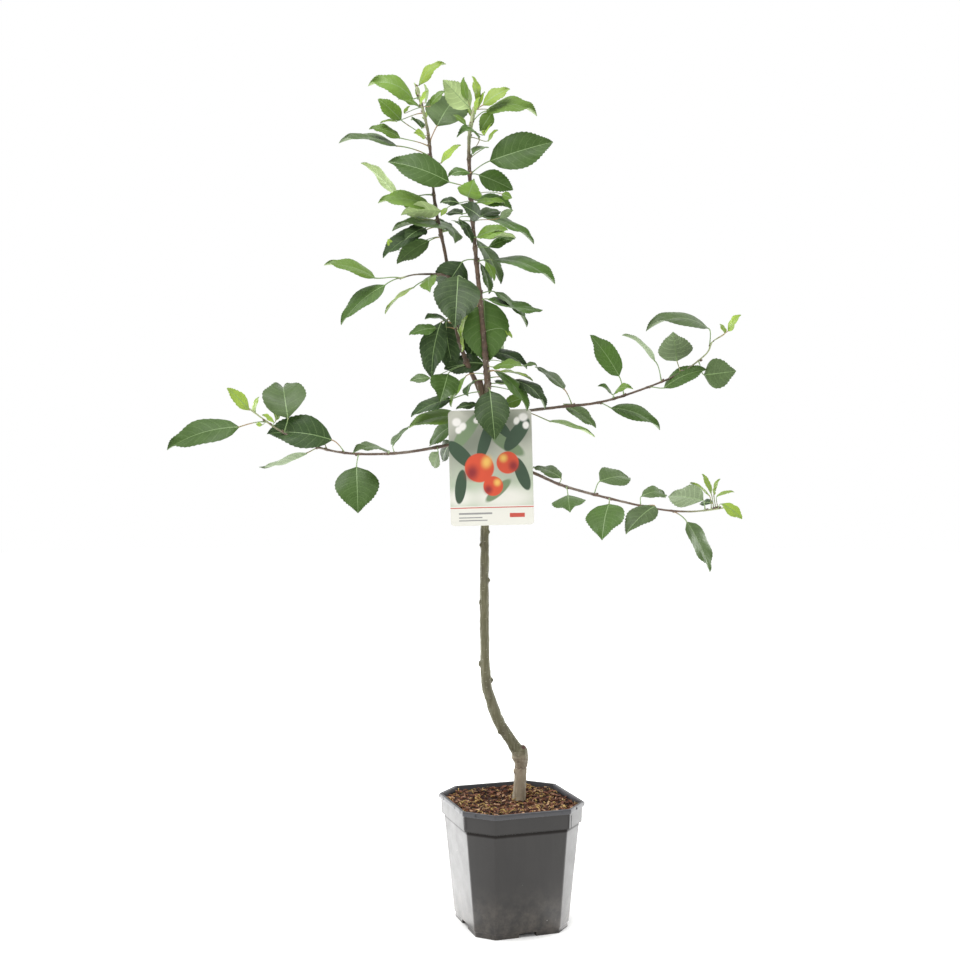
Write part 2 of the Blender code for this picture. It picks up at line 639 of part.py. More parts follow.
def strap_shape(extra=0.0):
    """The strap: a band round the trunk that closes behind the label, with a tail to the right."""
    trunk = station_at(smooth_route(TRUNK_ROUTE, 0.009), 0.985)
    inner = trunk_radius(STRAP_CENTRE) + 2 * GAP - extra
    outer = inner + STRAP_THICKNESS + 2 * extra
    front = LABEL_CENTRE[1] + LABEL_THICKNESS / 2 + GAP - extra
    low = STRAP_CENTRE - STRAP_HEIGHT / 2 - extra
    high = STRAP_CENTRE + STRAP_HEIGHT / 2 + extra
    turns = [math.pi * i / 10 for i in range(11)]
    back = [(trunk.x + outer * math.cos(a), trunk.y + outer * math.sin(a)) for a in turns]
    hole = [(trunk.x + inner * math.cos(a), trunk.y + inner * math.sin(a)) for a in turns]
    tail = trunk.x + STRAP_TAIL + extra
    thick = STRAP_THICKNESS + 2 * extra
    outside = [(tail, front), (tail, front + thick), (trunk.x + outer, front + thick)] + back
    outside.append((trunk.x - outer, front))
    inside = [(trunk.x + inner, front + thick)] + hole + [(trunk.x - inner, front + thick)]
    shape = bmesh.new()
    loft(shape, [[(x, y, z) for x, y in outside] for z in (low, high)])
    strap = object_from("label_strap", shape)
    hollow = bmesh.new()
    loft(hollow, [[(x, y, z) for x, y in inside] for z in (low - 0.002, high + 0.002)])
    hollow_cutter = as_cutter(object_from("strap_hollow", hollow))
    cut(strap, hollow_cutter)
    settle(strap)
    return strap


def make_label():
    """The label card and its strap, and the room that leaf masses leave round them."""
    object_from("label", label_shape(), finish("label_card", (0.80, 0.79, 0.74), 0.35))
    strap = strap_shape()
    strap.data.materials.clear()
    strap.data.materials.append(finish("strap_plastic", (0.78, 0.78, 0.76), 0.4))
    strap_room = strap_shape(GAP)
    strap_room.name = "room_strap"
    return [as_cutter(object_from("room_label", label_shape(2 * GAP))), as_cutter(strap_room)]


def main():
    clear_scene()
    make_pot()
    make_soil()
    rooms = list(make_limbs().values())
    rooms += make_label()
    make_masses(rooms)


main()
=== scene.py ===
"""Looks of a young apple tree in a square nursery pot.

The frame brings the tree as plain solids. Each operator makes one piece, or a group of like pieces,
around that frame: the pot, the compost, the wood, the leaves with their stalks and buds, and the hanging
card. Leaves that the photograph shows are placed by its pixels on the limb that carries them. A seeded
rule gives each its teeth, veins and bends, and grows the rest of the crown where those leaves hide it
from the camera, so that the gaps with sky in them stay open.
"""

import json
import math
import random
from typing import NamedTuple

import bmesh
import bpy
from bpy.props import FloatProperty, FloatVectorProperty, IntProperty, PointerProperty
from mathutils import Matrix, Vector, noise

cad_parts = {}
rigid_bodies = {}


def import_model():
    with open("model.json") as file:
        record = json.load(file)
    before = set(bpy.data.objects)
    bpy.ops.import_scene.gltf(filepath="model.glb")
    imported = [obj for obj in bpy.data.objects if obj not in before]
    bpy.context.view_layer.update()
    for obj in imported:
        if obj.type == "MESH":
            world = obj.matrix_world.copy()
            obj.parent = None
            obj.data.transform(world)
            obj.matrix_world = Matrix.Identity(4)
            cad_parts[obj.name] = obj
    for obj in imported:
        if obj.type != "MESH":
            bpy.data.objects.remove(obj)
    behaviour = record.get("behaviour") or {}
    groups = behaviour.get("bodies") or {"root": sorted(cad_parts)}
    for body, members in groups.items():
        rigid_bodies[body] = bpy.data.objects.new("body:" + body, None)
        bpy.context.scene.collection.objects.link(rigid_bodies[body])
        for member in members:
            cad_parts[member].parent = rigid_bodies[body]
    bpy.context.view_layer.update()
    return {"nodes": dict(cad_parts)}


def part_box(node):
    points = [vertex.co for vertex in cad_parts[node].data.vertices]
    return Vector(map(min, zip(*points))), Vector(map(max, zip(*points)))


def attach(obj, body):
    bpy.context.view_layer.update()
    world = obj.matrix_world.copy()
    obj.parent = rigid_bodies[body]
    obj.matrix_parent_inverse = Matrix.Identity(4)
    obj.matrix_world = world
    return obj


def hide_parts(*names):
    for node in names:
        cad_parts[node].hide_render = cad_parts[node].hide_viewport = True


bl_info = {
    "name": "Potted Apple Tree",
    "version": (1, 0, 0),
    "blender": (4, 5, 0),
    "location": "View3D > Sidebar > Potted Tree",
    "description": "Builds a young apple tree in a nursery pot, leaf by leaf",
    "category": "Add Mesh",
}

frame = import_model()

BODY = "root"

# The photograph's camera: it places what is read from the photograph in pixels
PHOTO_SIDE = 960
LENS = 50.0
SENSOR = 36.0
CAMERA_PLACE = Vector((-0.0465, -2.0, 0.69))
CAMERA_PITCH = math.radians(0.74)
PIXELS_PER_SLOPE = PHOTO_SIDE * LENS / SENSOR

# Pot, in metres: a square with cut corners, turned a little from the camera
POT_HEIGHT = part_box("pot")[1].z
POT_TURN = math.radians(18.5)
RIM_SIDE = 0.190
RIM_CUT = 0.0367
FOOT_SIDE = 0.148
FOOT_CUT = 0.0243
CUT_SHARE = 2 - math.sqrt(2)
CORNER_RADIUS = 0.005
WALL = 0.0022
FLOOR = 0.003
LIP_HEIGHT = 0.007
LIP_PROUD = 0.002
COLLAR_HEIGHT = 0.030
COLLAR_STEP = 0.0035
COLLAR_FOOT = POT_HEIGHT - COLLAR_HEIGHT
LIP_FOOT = POT_HEIGHT - LIP_HEIGHT
COLLAR_DRAFT = 0.0012
FOOT_HEIGHT = 0.007
FOOT_INSET = 0.0015
FOOT_WIDTH = 0.008
PAD_SIDE = 0.050
NOTCH_WIDTH = 0.027
NOTCH_HEIGHT = 0.006
DRAIN_RADIUS = 0.006
DRAIN_REACH = 0.045
EDGE_RADIUS = 0.0011
CORNER_STEPS = 5
SLOT_OFFSET = -0.004
SLOT_SIZE = (0.0022, 0.0042, 0.0036)
TICKS = (-0.058, -0.037, 0.019, 0.046)
COLLAR_LINES = (0.056, 0.060)
TICK_WIDTH = 0.0008
TICK_PROUD = 0.0003
CUT_MARGIN = 0.001
DUST_HEIGHT = 0.09
SPECK_COLOUR = (0.42, 0.41, 0.38)

# Wood, in metres: the routes that the frame's trunk and limbs follow
TRUNK_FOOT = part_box("trunk")[0].z
FORK_HEIGHT = 0.779
TRUNK_ROUTE = (
    (0.013, 0.030, TRUNK_FOOT), (0.015, 0.030, 0.213), (0.015, 0.028, 0.241), (0.004, 0.026, 0.262),
    (-0.016, 0.022, 0.293), (-0.030, 0.018, 0.330), (-0.038, 0.014, 0.369), (-0.040, 0.010, 0.480),
    (-0.039, 0.010, 0.600), (-0.039, 0.010, FORK_HEIGHT),
)
TRUNK_FOOT_RADIUS = 0.0096
TRUNK_TOP_RADIUS = 0.0064
TRUNK_WAIST = 0.35
FLARE = 0.0012
FLARE_HEIGHT = 0.009
UNION_HEIGHT = 0.243
UNION_SWELL = 0.0036
UNION_SPREAD = 0.009
RING_HEIGHT = 0.2255
GRAFT_LINE = (0.240, 0.262)
YOUNG_LINE = (0.70, 0.82)
TRUNK_SPACING = 0.0035
TRUNK_SIDES = 28
LIMB_SPACING = 0.003
LIMB_SIDES = 12

# What shows on the trunk: at a pixel of the photograph, its depth, half width and half height in metres
GRAFT_DEPTH = 0.026
SHOULDER_PIXEL = (521.8, 751.5)
SHOULDER = (0.0092, 0.0100)
SHOULDER_SCAR_PIXEL = (524.0, 746.5)
SHOULDER_SCAR = (0.0040, 0.0042)
SCAR_DEPTH = 0.012
KNOTS = (
    ((480.4, 664.0), 0.016, 0.0040), ((480.9, 602.0), 0.010, 0.0036), ((499.2, 731.0), 0.021, 0.0038),
    ((491.6, 680.0), 0.017, 0.0034), ((488.6, 580.0), 0.010, 0.0032), ((515.6, 771.0), 0.029, 0.0046),
    ((480.9, 545.0), 0.010, 0.0030), ((488.8, 532.0), 0.010, 0.0028), ((524.2, 771.5), 0.029, 0.0034),
)
KNOT_SINK = 0.002
FORK_KNOT = (0.0078, 0.0110)
STUB_FOOT = (-0.0395, 0.0105, 0.781)
STUB_END = (-0.0478, 0.0090, 0.8145)
STUB_RADII = (0.0060, 0.0050)
STUB_STEPS = 6
STUB_SIDES = 20
SCAR_REACH = 0.006


class Limb(NamedTuple):
    """One limb: its radius at foot and tip, and the few points that its route runs through."""

    foot: float
    tip: float
    route: tuple


LIMBS = {
    "right_leader": Limb(0.0043, 0.0024, (
        (-0.039, 0.010, 0.776), (-0.035, 0.006, 0.799), (-0.038, -0.004, 0.844),
        (-0.049, -0.014, 0.961), (-0.058, -0.018, 1.057), (-0.063, -0.016, 1.161), (-0.055, -0.012, 1.217))),
    "left_leader": Limb(0.0039, 0.0018, (
        (-0.039, 0.010, 0.778), (-0.050, 0.013, 0.806), (-0.068, 0.018, 0.845), (-0.081, 0.022, 0.891),
        (-0.098, 0.020, 1.000), (-0.114, 0.012, 1.078), (-0.124, 0.006, 1.182), (-0.141, 0.002, 1.251))),
    "left_bough": Limb(0.0030, 0.0011, (
        (-0.039, 0.010, 0.729), (-0.074, 0.018, 0.721), (-0.168, 0.026, 0.705), (-0.259, 0.022, 0.706),
        (-0.333, 0.008, 0.730), (-0.393, -0.010, 0.772))),
    "right_upper_bough": Limb(0.0030, 0.0011, (
        (-0.039, 0.010, 0.755), (-0.002, 0.018, 0.765), (0.072, 0.040, 0.775), (0.150, 0.056, 0.786),
        (0.250, 0.066, 0.822), (0.300, 0.066, 0.855), (0.312, 0.064, 0.876))),
    "right_lower_bough": Limb(0.0030, 0.0011, (
        (-0.039, 0.010, 0.695), (-0.001, 0.012, 0.688), (0.038, 0.000, 0.673), (0.086, -0.026, 0.653),
        (0.190, -0.072, 0.627), (0.250, -0.088, 0.620), (0.305, -0.098, 0.626))),
    "left_spur": Limb(0.0020, 0.0010, (
        (-0.096, 0.021, 0.974), (-0.112, 0.018, 0.975), (-0.145, 0.010, 0.973), (-0.166, 0.006, 0.967))),
    "front_shoot": Limb(0.0024, 0.0010, (
        (-0.084, 0.022, 0.905), (-0.082, -0.010, 0.918), (-0.078, -0.070, 0.937), (-0.068, -0.140, 0.946))),
    "back_shoot": Limb(0.0024, 0.0010, (
        (-0.041, -0.008, 0.880), (-0.040, 0.030, 0.893), (-0.034, 0.090, 0.915), (-0.026, 0.170, 0.930))),
}
# The frame's leaf masses that the leaves of each limb stand for
MASSES = {
    "left_leader": ("left_crown_tip", "left_upper", "left_middle", "left_lower", "left_base"),
    "right_leader": ("right_crown_tip", "right_upper", "right_middle", "right_lower", "heart"),
    "left_spur": ("spur",),
    "front_shoot": ("front_shoot",),
    "back_shoot": ("back_shoot",),
    "left_bough": ("left_bough_inner", "left_bough_middle", "left_bough_outer", "left_bough_tip"),
    "right_upper_bough": ("right_upper_inner", "right_upper_middle", "right_upper_tip"),
    "right_lower_bough": ("right_lower_inner", "right_lower_middle", "right_lower_outer",
                          "right_lower_tip"),
}

# Hanging card, in metres
CARD_WIDTH = 0.124
CARD_HEIGHT = 0.172
CARD_THICKNESS = 0.0012
CARD_CORNER = 0.006
CARD_CENTRE = Vector((-0.0300, -0.0130, 0.6828))
CARD_TILT = math.radians(-1.5)
STRAP_HEIGHT = 0.0060
STRAP_THICKNESS = 0.0010
STRAP_CENTRE = 0.7690
STRAP_TAIL = 0.034
STRAP_CLEARANCE = 0.0006
STRAP_EDGE = 0.00022
STRAP_ARC = 24
CARD_ARC = 6
CARD_SIDE_STEPS = 12
CARD_RINGS = (0.0, 0.012, 0.025, 0.038, 0.050, 0.0595)
CARD_CURL = 0.0035

# What the card's own print is made of: a colour, and how soft an oval's edge is, or None for a bar
PRINTED = {
    "shade": ((0.200, 0.220, 0.170), 0.9), "pale": ((0.740, 0.730, 0.660), 0.8),
    "sage": ((0.170, 0.240, 0.130), 0.25), "leaf": ((0.040, 0.075, 0.042), 0.12),
    "fruit": ((0.620, 0.075, 0.030), 0.10), "dusk": ((0.260, 0.020, 0.022), 0.9),
    "cheek": ((0.800, 0.480, 0.110), 0.9), "bloom": ((0.780, 0.760, 0.720), 0.5),
    "band": ((0.740, 0.730, 0.660), None), "line": ((0.520, 0.080, 0.055), None),
    "grey": ((0.300, 0.300, 0.290), None),
}
# Its shapes, in shares of the card's width and height: kind, centre, half sizes, turn in degrees
CARD_SHAPES = (
    ("shade", (0.26, 0.72), (0.52, 0.30), 15), ("shade", (0.80, 0.86), (0.42, 0.22), -20),
    ("pale", (0.64, 0.24), (0.66, 0.15), 0), ("pale", (0.10, 0.24), (0.26, 0.12), 0),
    ("sage", (0.22, 0.82), (0.27, 0.075), 42), ("sage", (0.70, 0.70), (0.25, 0.070), -24),
    ("sage", (0.46, 0.93), (0.20, 0.050), 8), ("sage", (0.58, 0.30), (0.20, 0.055), 30),
    ("leaf", (0.82, 0.78), (0.21, 0.080), 40), ("leaf", (0.14, 0.62), (0.20, 0.075), -34),
    ("leaf", (0.87, 0.44), (0.17, 0.075), -60), ("leaf", (0.44, 0.74), (0.22, 0.070), 64),
    ("leaf", (0.13, 0.34), (0.16, 0.070), 78), ("leaf", (0.62, 0.86), (0.18, 0.055), -38),
    ("bloom", (0.10, 0.90), (0.07, 0.048), 0), ("bloom", (0.17, 0.86), (0.06, 0.044), 20),
    ("bloom", (0.12, 0.83), (0.05, 0.040), 0), ("bloom", (0.90, 0.93), (0.07, 0.046), 0),
    ("bloom", (0.82, 0.90), (0.05, 0.040), 30), ("bloom", (0.93, 0.86), (0.05, 0.042), 0),
    ("bloom", (0.34, 0.91), (0.05, 0.034), 0),
    ("fruit", (0.36, 0.50), (0.185, 0.132), 0), ("dusk", (0.27, 0.46), (0.12, 0.100), 20),
    ("cheek", (0.45, 0.55), (0.100, 0.080), 20), ("fruit", (0.70, 0.54), (0.140, 0.101), 0),
    ("dusk", (0.77, 0.51), (0.09, 0.070), 0), ("cheek", (0.65, 0.58), (0.075, 0.055), 0),
    ("fruit", (0.52, 0.34), (0.125, 0.090), 0), ("dusk", (0.46, 0.31), (0.08, 0.060), 0),
    ("cheek", (0.57, 0.37), (0.065, 0.050), 0),
    ("band", (0.50, 0.085), (0.52, 0.085), 0), ("line", (0.50, 0.155), (0.52, 0.004), 0),
    ("grey", (0.30, 0.105), (0.20, 0.008), 0), ("grey", (0.24, 0.070), (0.14, 0.005), 0),
    ("line", (0.80, 0.085), (0.09, 0.018), 0), ("grey", (0.27, 0.045), (0.17, 0.005), 0),
)


class Chip(NamedTuple):
    """One kind of bark chip: its colours, its share, how it curls and lies, and how wide and thick it is."""

    colour: str
    finish: str
    light: str
    share: float
    curl: float
    heap: float
    widths: tuple = (0.14, 0.26)
    thicks: tuple = (0.03, 0.08)


# Compost, in metres, and its chips, in shares of their length
CHIPS = (
    Chip("dark", "wet_chips", "brown", 1.0, 0.0, 0.0012),
    Chip("brown", "brown_chips", "pale", 1.0, 0.05, 0.0022),
    Chip("tan", "tan_chips", "pale", 0.40, 0.30, 0.0030, (0.05, 0.09), (0.03, 0.05)),
)
CHIP_STEPS = 3
CHIP_TEMPLATES = 5
CHIP_TILT = 0.45
SMALL_CHIPS = 1.8
HEAP_INSET = 0.035
HEAP_LIFT = 0.0004
HEAP_REACH = (0.030, 0.078)
HEAP_DEPTH = 0.009
HEAP_SEARCH = 0.008

# The studio: how far from the pot the floor's own glow fades in, leaving a painted shadow round the pot's
# foot, and the panels: name, place, aim, power and size of each
PAINTED_SHADOW_REACH = (0.055, 0.115)
MIDDLE = (-0.05, 0.0, 0.6)
PANELS = (
    ("left_panel", (-2.2, 1.7, 0.75), MIDDLE, 46.0, (1.6, 2.0)),
    ("right_panel", (2.3, 1.5, 0.75), MIDDLE, 46.0, (1.6, 2.0)),
    ("back_panel", (0.0, 1.5, 1.5), (0.0, 0.7, 0.0), 16.0, (3.6, 1.6)),
    ("left_mirror", (-0.675, 0.40, 0.002), (-0.675, 0.40, 1.0), 6.0, (1.2, 1.0)),
    ("right_mirror", (0.675, 0.40, 0.002), (0.675, 0.40, 1.0), 6.0, (1.2, 1.0)),
    ("top_panel", (-0.7, -0.9, 3.0), (-0.05, 0.0, 0.7), 60.0, (1.8,)),
)


def from_photo(pixel, depth):
    """The point, this far from the XZ plane, that the photograph shows at a pixel."""
    right = (pixel[0] - PHOTO_SIDE / 2) / PIXELS_PER_SLOPE
    up = (PHOTO_SIDE / 2 - pixel[1]) / PIXELS_PER_SLOPE
    away = math.cos(CAMERA_PITCH) + up * math.sin(CAMERA_PITCH)
    rise = up * math.cos(CAMERA_PITCH) - math.sin(CAMERA_PITCH)
    return CAMERA_PLACE + Vector((right, away, rise)) * ((depth - CAMERA_PLACE.y) / away)


def to_photo(point):
    """The pixel of the photograph that shows a point."""
    offset = point - CAMERA_PLACE
    away = offset.y * math.cos(CAMERA_PITCH) - offset.z * math.sin(CAMERA_PITCH)
    rise = offset.y * math.sin(CAMERA_PITCH) + offset.z * math.cos(CAMERA_PITCH)
    centre = PHOTO_SIDE / 2
    return Vector((centre + PIXELS_PER_SLOPE * offset.x / away, centre - PIXELS_PER_SLOPE * rise / away))


def curve_point(points, segment, part):
    """A point on the Catmull-Rom curve through the points, and its ends carried on straight."""
    p1 = points[segment]
    p2 = points[segment + 1]
    p0 = points[segment - 1] if segment > 0 else p1 * 2 - p2
    p3 = points[segment + 2] if segment + 2 < len(points) else p2 * 2 - p1
    b = (p2 - p0) * part
    c = (p0 * 2 - p1 * 5 + p2 * 4 - p3) * part ** 2
    d = (p1 * 3 - p0 - p2 * 3 + p3) * part ** 3
    return (p1 * 2 + b + c + d) / 2


def smooth_route(points, spacing):
    """Evenly spaced stations on the smooth curve through a route's points."""
    knots = [Vector(point) for point in points]
    fine = [curve_point(knots, i, k / 12) for i in range(len(knots) - 1) for k in range(12)]
    fine.append(knots[-1])
    lengths = [0.0]
    for before, after in zip(fine, fine[1:]):
        lengths.append(lengths[-1] + (after - before).length)
    count = max(4, round(lengths[-1] / spacing))
    stations = []
    k = 0
    for i in range(count + 1):
        want = lengths[-1] * i / count
        while k < len(lengths) - 2 and lengths[k + 1] < want:
            k += 1
        part = (want - lengths[k]) / (lengths[k + 1] - lengths[k])
        stations.append(fine[k].lerp(fine[k + 1], part))
    return stations


def tube_rings(stations, radii, sides, level_foot=False):
    """Rings round a path, carried along it without twisting."""
    last = len(stations) - 1
    along = [(stations[min(i + 1, last)] - stations[max(i - 1, 0)]).normalized() for i in range(last + 1)]
    if level_foot:
        along[0] = Vector((0.0, 0.0, 1.0))
    across = along[0].orthogonal().normalized()
    rings = []
    for centre, axis, radius in zip(stations, along, radii):
        across = (across - axis * across.dot(axis)).normalized()
        other = axis.cross(across)
        turns = [2 * math.pi * i / sides for i in range(sides)]
        rings.append([centre + (across * math.cos(a) + other * math.sin(a)) * radius for a in turns])
    return rings


def loft(shape, rings):
    """Join rings of equally many points with faces, and close both ends."""
    loops = [[shape.verts.new(point) for point in ring] for ring in rings]
    for lower, upper in zip(loops, loops[1:]):
        for i in range(len(lower)):
            j = (i + 1) % len(lower)
            shape.faces.new((lower[i], lower[j], upper[j], upper[i]))
    shape.faces.new(list(reversed(loops[0])))
    shape.faces.new(loops[-1])


def smoothstep(low, high, value):
    """How far a value has gone from low to high, from 0 to 1 with soft ends."""
    part = min(1.0, max(0.0, (value - low) / (high - low)))
    return part * part * (3 - 2 * part)


def mesh_from(name, shape):
    """A mesh made of a bmesh."""
    mesh = bpy.data.meshes.new(name)
    shape.to_mesh(mesh)
    shape.free()
    return mesh


def linked(name, data):
    """A new object that shows this data, linked to the scene."""
    thing = bpy.data.objects.new(name, data)
    bpy.context.scene.collection.objects.link(thing)
    return thing


def object_from(name, shape):
    """A mesh object made of a bmesh, linked to the scene."""
    return linked(name, mesh_from(name, shape))


def lofted(name, rings):
    """A closed mesh object lofted through rings, with its faces turned outwards."""
    shape = bmesh.new()
    loft(shape, rings)
    bmesh.ops.recalc_face_normals(shape, faces=shape.faces)
    return object_from(name, shape)


def settle(thing):
    """Turn an object's modifiers into its plain mesh."""
    bpy.context.view_layer.update()
    seen = thing.evaluated_get(bpy.context.evaluated_depsgraph_get())
    mesh = bpy.data.meshes.new_from_object(seen)
    thing.modifiers.clear()
    thing.data = mesh


def as_piece(thing, slot, *replaced):
    """Put a finished object on the tree's body and hide the frame's nodes that it stands for; its slot is not
    used.
    """
    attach(thing, BODY)
    if replaced:
        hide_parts(*replaced)


def paint(thing, *materials, smooth_angle=None):
    """Give an object its materials, and smooth shading with sharp edges past an angle."""
    thing.data.materials.clear()
    for material in materials:
        thing.data.materials.append(material)
    if smooth_angle is not None:
        thing.data.shade_smooth()
        thing.data.set_sharp_from_angle(angle=math.radians(smooth_angle))


def give(tree, socket, value):
    """Link a socket to an output, or set it to a plain value, a colour of three parts too."""
    if isinstance(value, bpy.types.NodeSocket):
        tree.links.new(value, socket)
    elif socket.type == "RGBA":
        socket.default_value = (*value, 1.0)
    else:
        socket.default_value = value


def add_node(tree, kind, inputs=(), **settings):
    """A new node with its settings, and its inputs set or linked by name or number."""
    made = tree.nodes.new(kind)
    for key, value in settings.items():
        setattr(made, key, value)
    for key, value in dict(inputs).items():
        give(tree, made.inputs[key], value)
    return made


def sum_node(tree, operation, first, second=0.0):
    """Two numbers put together by a math node."""
    return add_node(tree, "ShaderNodeMath", {0: first, 1: second}, operation=operation).outputs[0]


class Finish:
    """A procedural material while it is put together: each colour or bump goes on top of what is there."""

    def __init__(self, name, colour, roughness, specular=0.5):
        self.material = bpy.data.materials.new(name)
        self.material.use_nodes = True
        self.tree = self.material.node_tree
        self.shader = self.tree.nodes["Principled BSDF"]
        self.colour = colour
        self.bump = None
        self.set("Roughness", roughness)
        self.set("Specular IOR Level", specular)

    def set(self, name, value):
        """Give one of the shader's inputs a value or a pattern."""
        give(self.tree, self.shader.inputs[name], value)

    def node(self, kind, inputs=(), **settings):
        """A new node of this material."""
        return add_node(self.tree, kind, inputs, **settings)

    def place(self, *stretch):
        """Object coordinates, stretched."""
        inputs = {"Vector": self.node("ShaderNodeTexCoord").outputs["Object"]}
        if stretch:
            inputs["Scale"] = stretch
        return self.node("ShaderNodeMapping", inputs).outputs[0]

    def height(self):
        """The height above the floor."""
        return self.node("ShaderNodeSeparateXYZ", {0: self.place()}).outputs["Z"]

    def attribute(self, name):
        """The number that an attribute of the mesh gives."""
        return self.node("ShaderNodeAttribute", attribute_name=name).outputs["Fac"]

    def mottle(self, place, scale, detail=4.0, roughness=0.55):
        """Smooth noise from 0 to 1."""
        inputs = {"Vector": place, "Scale": scale, "Detail": detail, "Roughness": roughness}
        return self.node("ShaderNodeTexNoise", inputs).outputs["Fac"]

    def cells(self, place, scale, feature="F1"):
        """Distance to the cells of a Voronoi pattern."""
        inputs = {"Vector": place, "Scale": scale}
        return self.node("ShaderNodeTexVoronoi", inputs, feature=feature).outputs["Distance"]

    def spread(self, value, low, high, to_low=0.0, to_high=1.0):
        """A value between low and high, softly spread over another range."""
        inputs = {"Value": value, "From Min": low, "From Max": high, "To Min": to_low, "To Max": to_high}
        return self.node("ShaderNodeMapRange", inputs, interpolation_type="SMOOTHSTEP").outputs["Result"]

    def sum(self, operation, first, second=0.0):
        """Two numbers put together."""
        return sum_node(self.tree, operation, first, second)

    def times(self, first, second):
        """Two numbers multiplied."""
        return self.sum("MULTIPLY", first, second)

    def lay(self, colour, where, low=None, high=None, share=1.0):
        """Lay a colour on where a mask says, or where a pattern goes from low to high, up to a share."""
        if low is not None:
            where = self.spread(where, low, high, 0.0, share)
        inputs = {"Factor": where, 6: self.colour, 7: colour}
        self.colour = self.node("ShaderNodeMix", inputs, data_type="RGBA").outputs[2]

    def relief(self, height, strength, distance):
        """Raise the surface by a pattern, up to a distance in metres."""
        inputs = {"Height": height, "Strength": strength, "Distance": distance}
        if self.bump is not None:
            inputs["Normal"] = self.bump
        self.bump = self.node("ShaderNodeBump", inputs).outputs["Normal"]
        self.set("Normal", self.bump)

    def done(self):
        """The material, with its last colour."""
        self.set("Base Color", self.colour)
        return self.material


def darker(colour, share):
    """A colour with each part cut, or raised, to a share."""
    return tuple(part * share for part in colour)


def pot_plastic(settings):
    """Satin recycled plastic: fine moulded grain, faint streaks, dust low down, a few pale specks, a painted
    sky reflection on the lip and a painted shadow line under the collar.
    """
    made = Finish("pot_plastic", settings.plastic, 0.34, 0.4)
    place = made.place()
    height = made.height()
    made.lay(darker(settings.plastic, 1.15), made.mottle(made.place(14.0, 14.0, 1.6), 5.0, 3.0), 0.35, 0.7)
    made.lay(darker(settings.plastic, 0.72), made.mottle(place, 16.0, 5.0), 0.4, 0.75, 0.35)
    dusty = made.spread(made.mottle(place, 55.0, 6.0, 0.7), 0.30, 0.80)
    dusty = made.times(made.spread(height, DUST_HEIGHT, 0.0), dusty)
    made.lay(settings.dust, made.times(dusty, 0.6))
    # Painted reflection: the lip's lighter, bluer colour stands for the sky that it reflects.
    made.lay(settings.lip, height, LIP_FOOT - 0.001, LIP_FOOT)
    speck = made.spread(made.cells(place, 95.0), 0.075, 0.05)
    rare = made.spread(made.mottle(place, 21.0, 1.0), 0.66, 0.70)
    made.lay(SPECK_COLOUR, made.times(speck, rare))
    # Painted shadow: the shine is cut in a thin band just under the collar, a dark line where its shade
    # falls.
    collar_shadow_distance = made.sum("ABSOLUTE", made.sum("SUBTRACT", height, COLLAR_FOOT - 0.002))
    made.set("Specular IOR Level", made.spread(collar_shadow_distance, 0.0012, 0.0045, 0.04, 0.4))
    made.set("Roughness", made.spread(made.mottle(place, 34.0, 5.0, 0.65), 0.3, 0.75, 0.30, 0.38))
    made.relief(made.mottle(place, 1500.0, 2.0), 0.25, 0.00012)
    made.relief(made.mottle(made.place(3.0, 3.0, 1.0), 130.0, 4.0, 0.7), 0.12, 0.0002)
    return made.done()


def chip_finish(name, colour, light):
    """Fibrous bark chip: short grain, and lighter and darker pieces side by side."""
    made = Finish(name, darker(colour, 0.55), 0.85, 0.25)
    pieces = made.node("ShaderNodeTexVoronoi", {"Vector": made.place(), "Scale": 170.0}).outputs["Color"]
    shade = made.node("ShaderNodeSeparateColor", {0: pieces}).outputs[0]
    grain = made.mottle(made.place(1.0, 4.0, 1.0), 620.0, 4.0, 0.65)
    made.lay(colour, shade, 0.1, 0.9)
    made.lay(light, shade, 0.82, 0.95, 0.7)
    made.lay(darker(light, 0.8), grain, 0.4, 0.75, 0.25)
    made.set("Roughness", made.spread(grain, 0.3, 0.7, 0.72, 0.95))
    made.relief(grain, 0.6, 0.0006)
    return made.done()


def old_bark(settings):
    """Trunk bark: taupe under the graft, olive over it, pale streaks, cracks and small raised pores."""
    made = Finish("trunk_bark", settings.rootstock, 0.62, 0.35)
    height = made.height()
    wander = made.times(made.mottle(made.place(), 60.0, 3.0), 0.012)
    made.lay(settings.scion, made.sum("ADD", height, wander), *GRAFT_LINE)
    made.lay(settings.bark_light, made.mottle(made.place(9.0, 9.0, 1.0), 34.0, 6.0, 0.65), 0.42, 0.76, 0.32)
    made.lay(settings.bark_dark, made.mottle(made.place(3.0, 3.0, 1.0), 22.0, 4.0), 0.60, 0.34, 0.45)
    made.lay(settings.young, made.sum("ADD", height, made.times(wander, 4.0)), *YOUNG_LINE, 0.85)
    pore = made.spread(made.cells(made.place(1.0, 1.0, 2.6), 95.0), 0.20, 0.12)
    made.lay(settings.bark_light, made.times(pore, 0.4))
    made.lay(settings.scar, made.attribute("scar"), 0.1, 0.8)
    fine = made.mottle(made.place(4.0, 4.0, 1.0), 420.0, 5.0, 0.7)
    made.relief(pore, 0.7, 0.0005)
    made.relief(made.mottle(made.place(1.0, 1.0, 7.0), 120.0, 4.0, 0.6), 0.35, 0.0007)
    made.relief(fine, 0.5, 0.0005)
    made.set("Roughness", made.spread(fine, 0.3, 0.75, 0.5, 0.78))
    made.set("Sheen Weight", 0.35)
    made.set("Sheen Roughness", 0.35)
    made.set("Sheen Tint", (0.75, 0.85, 0.60))
    return made.done()


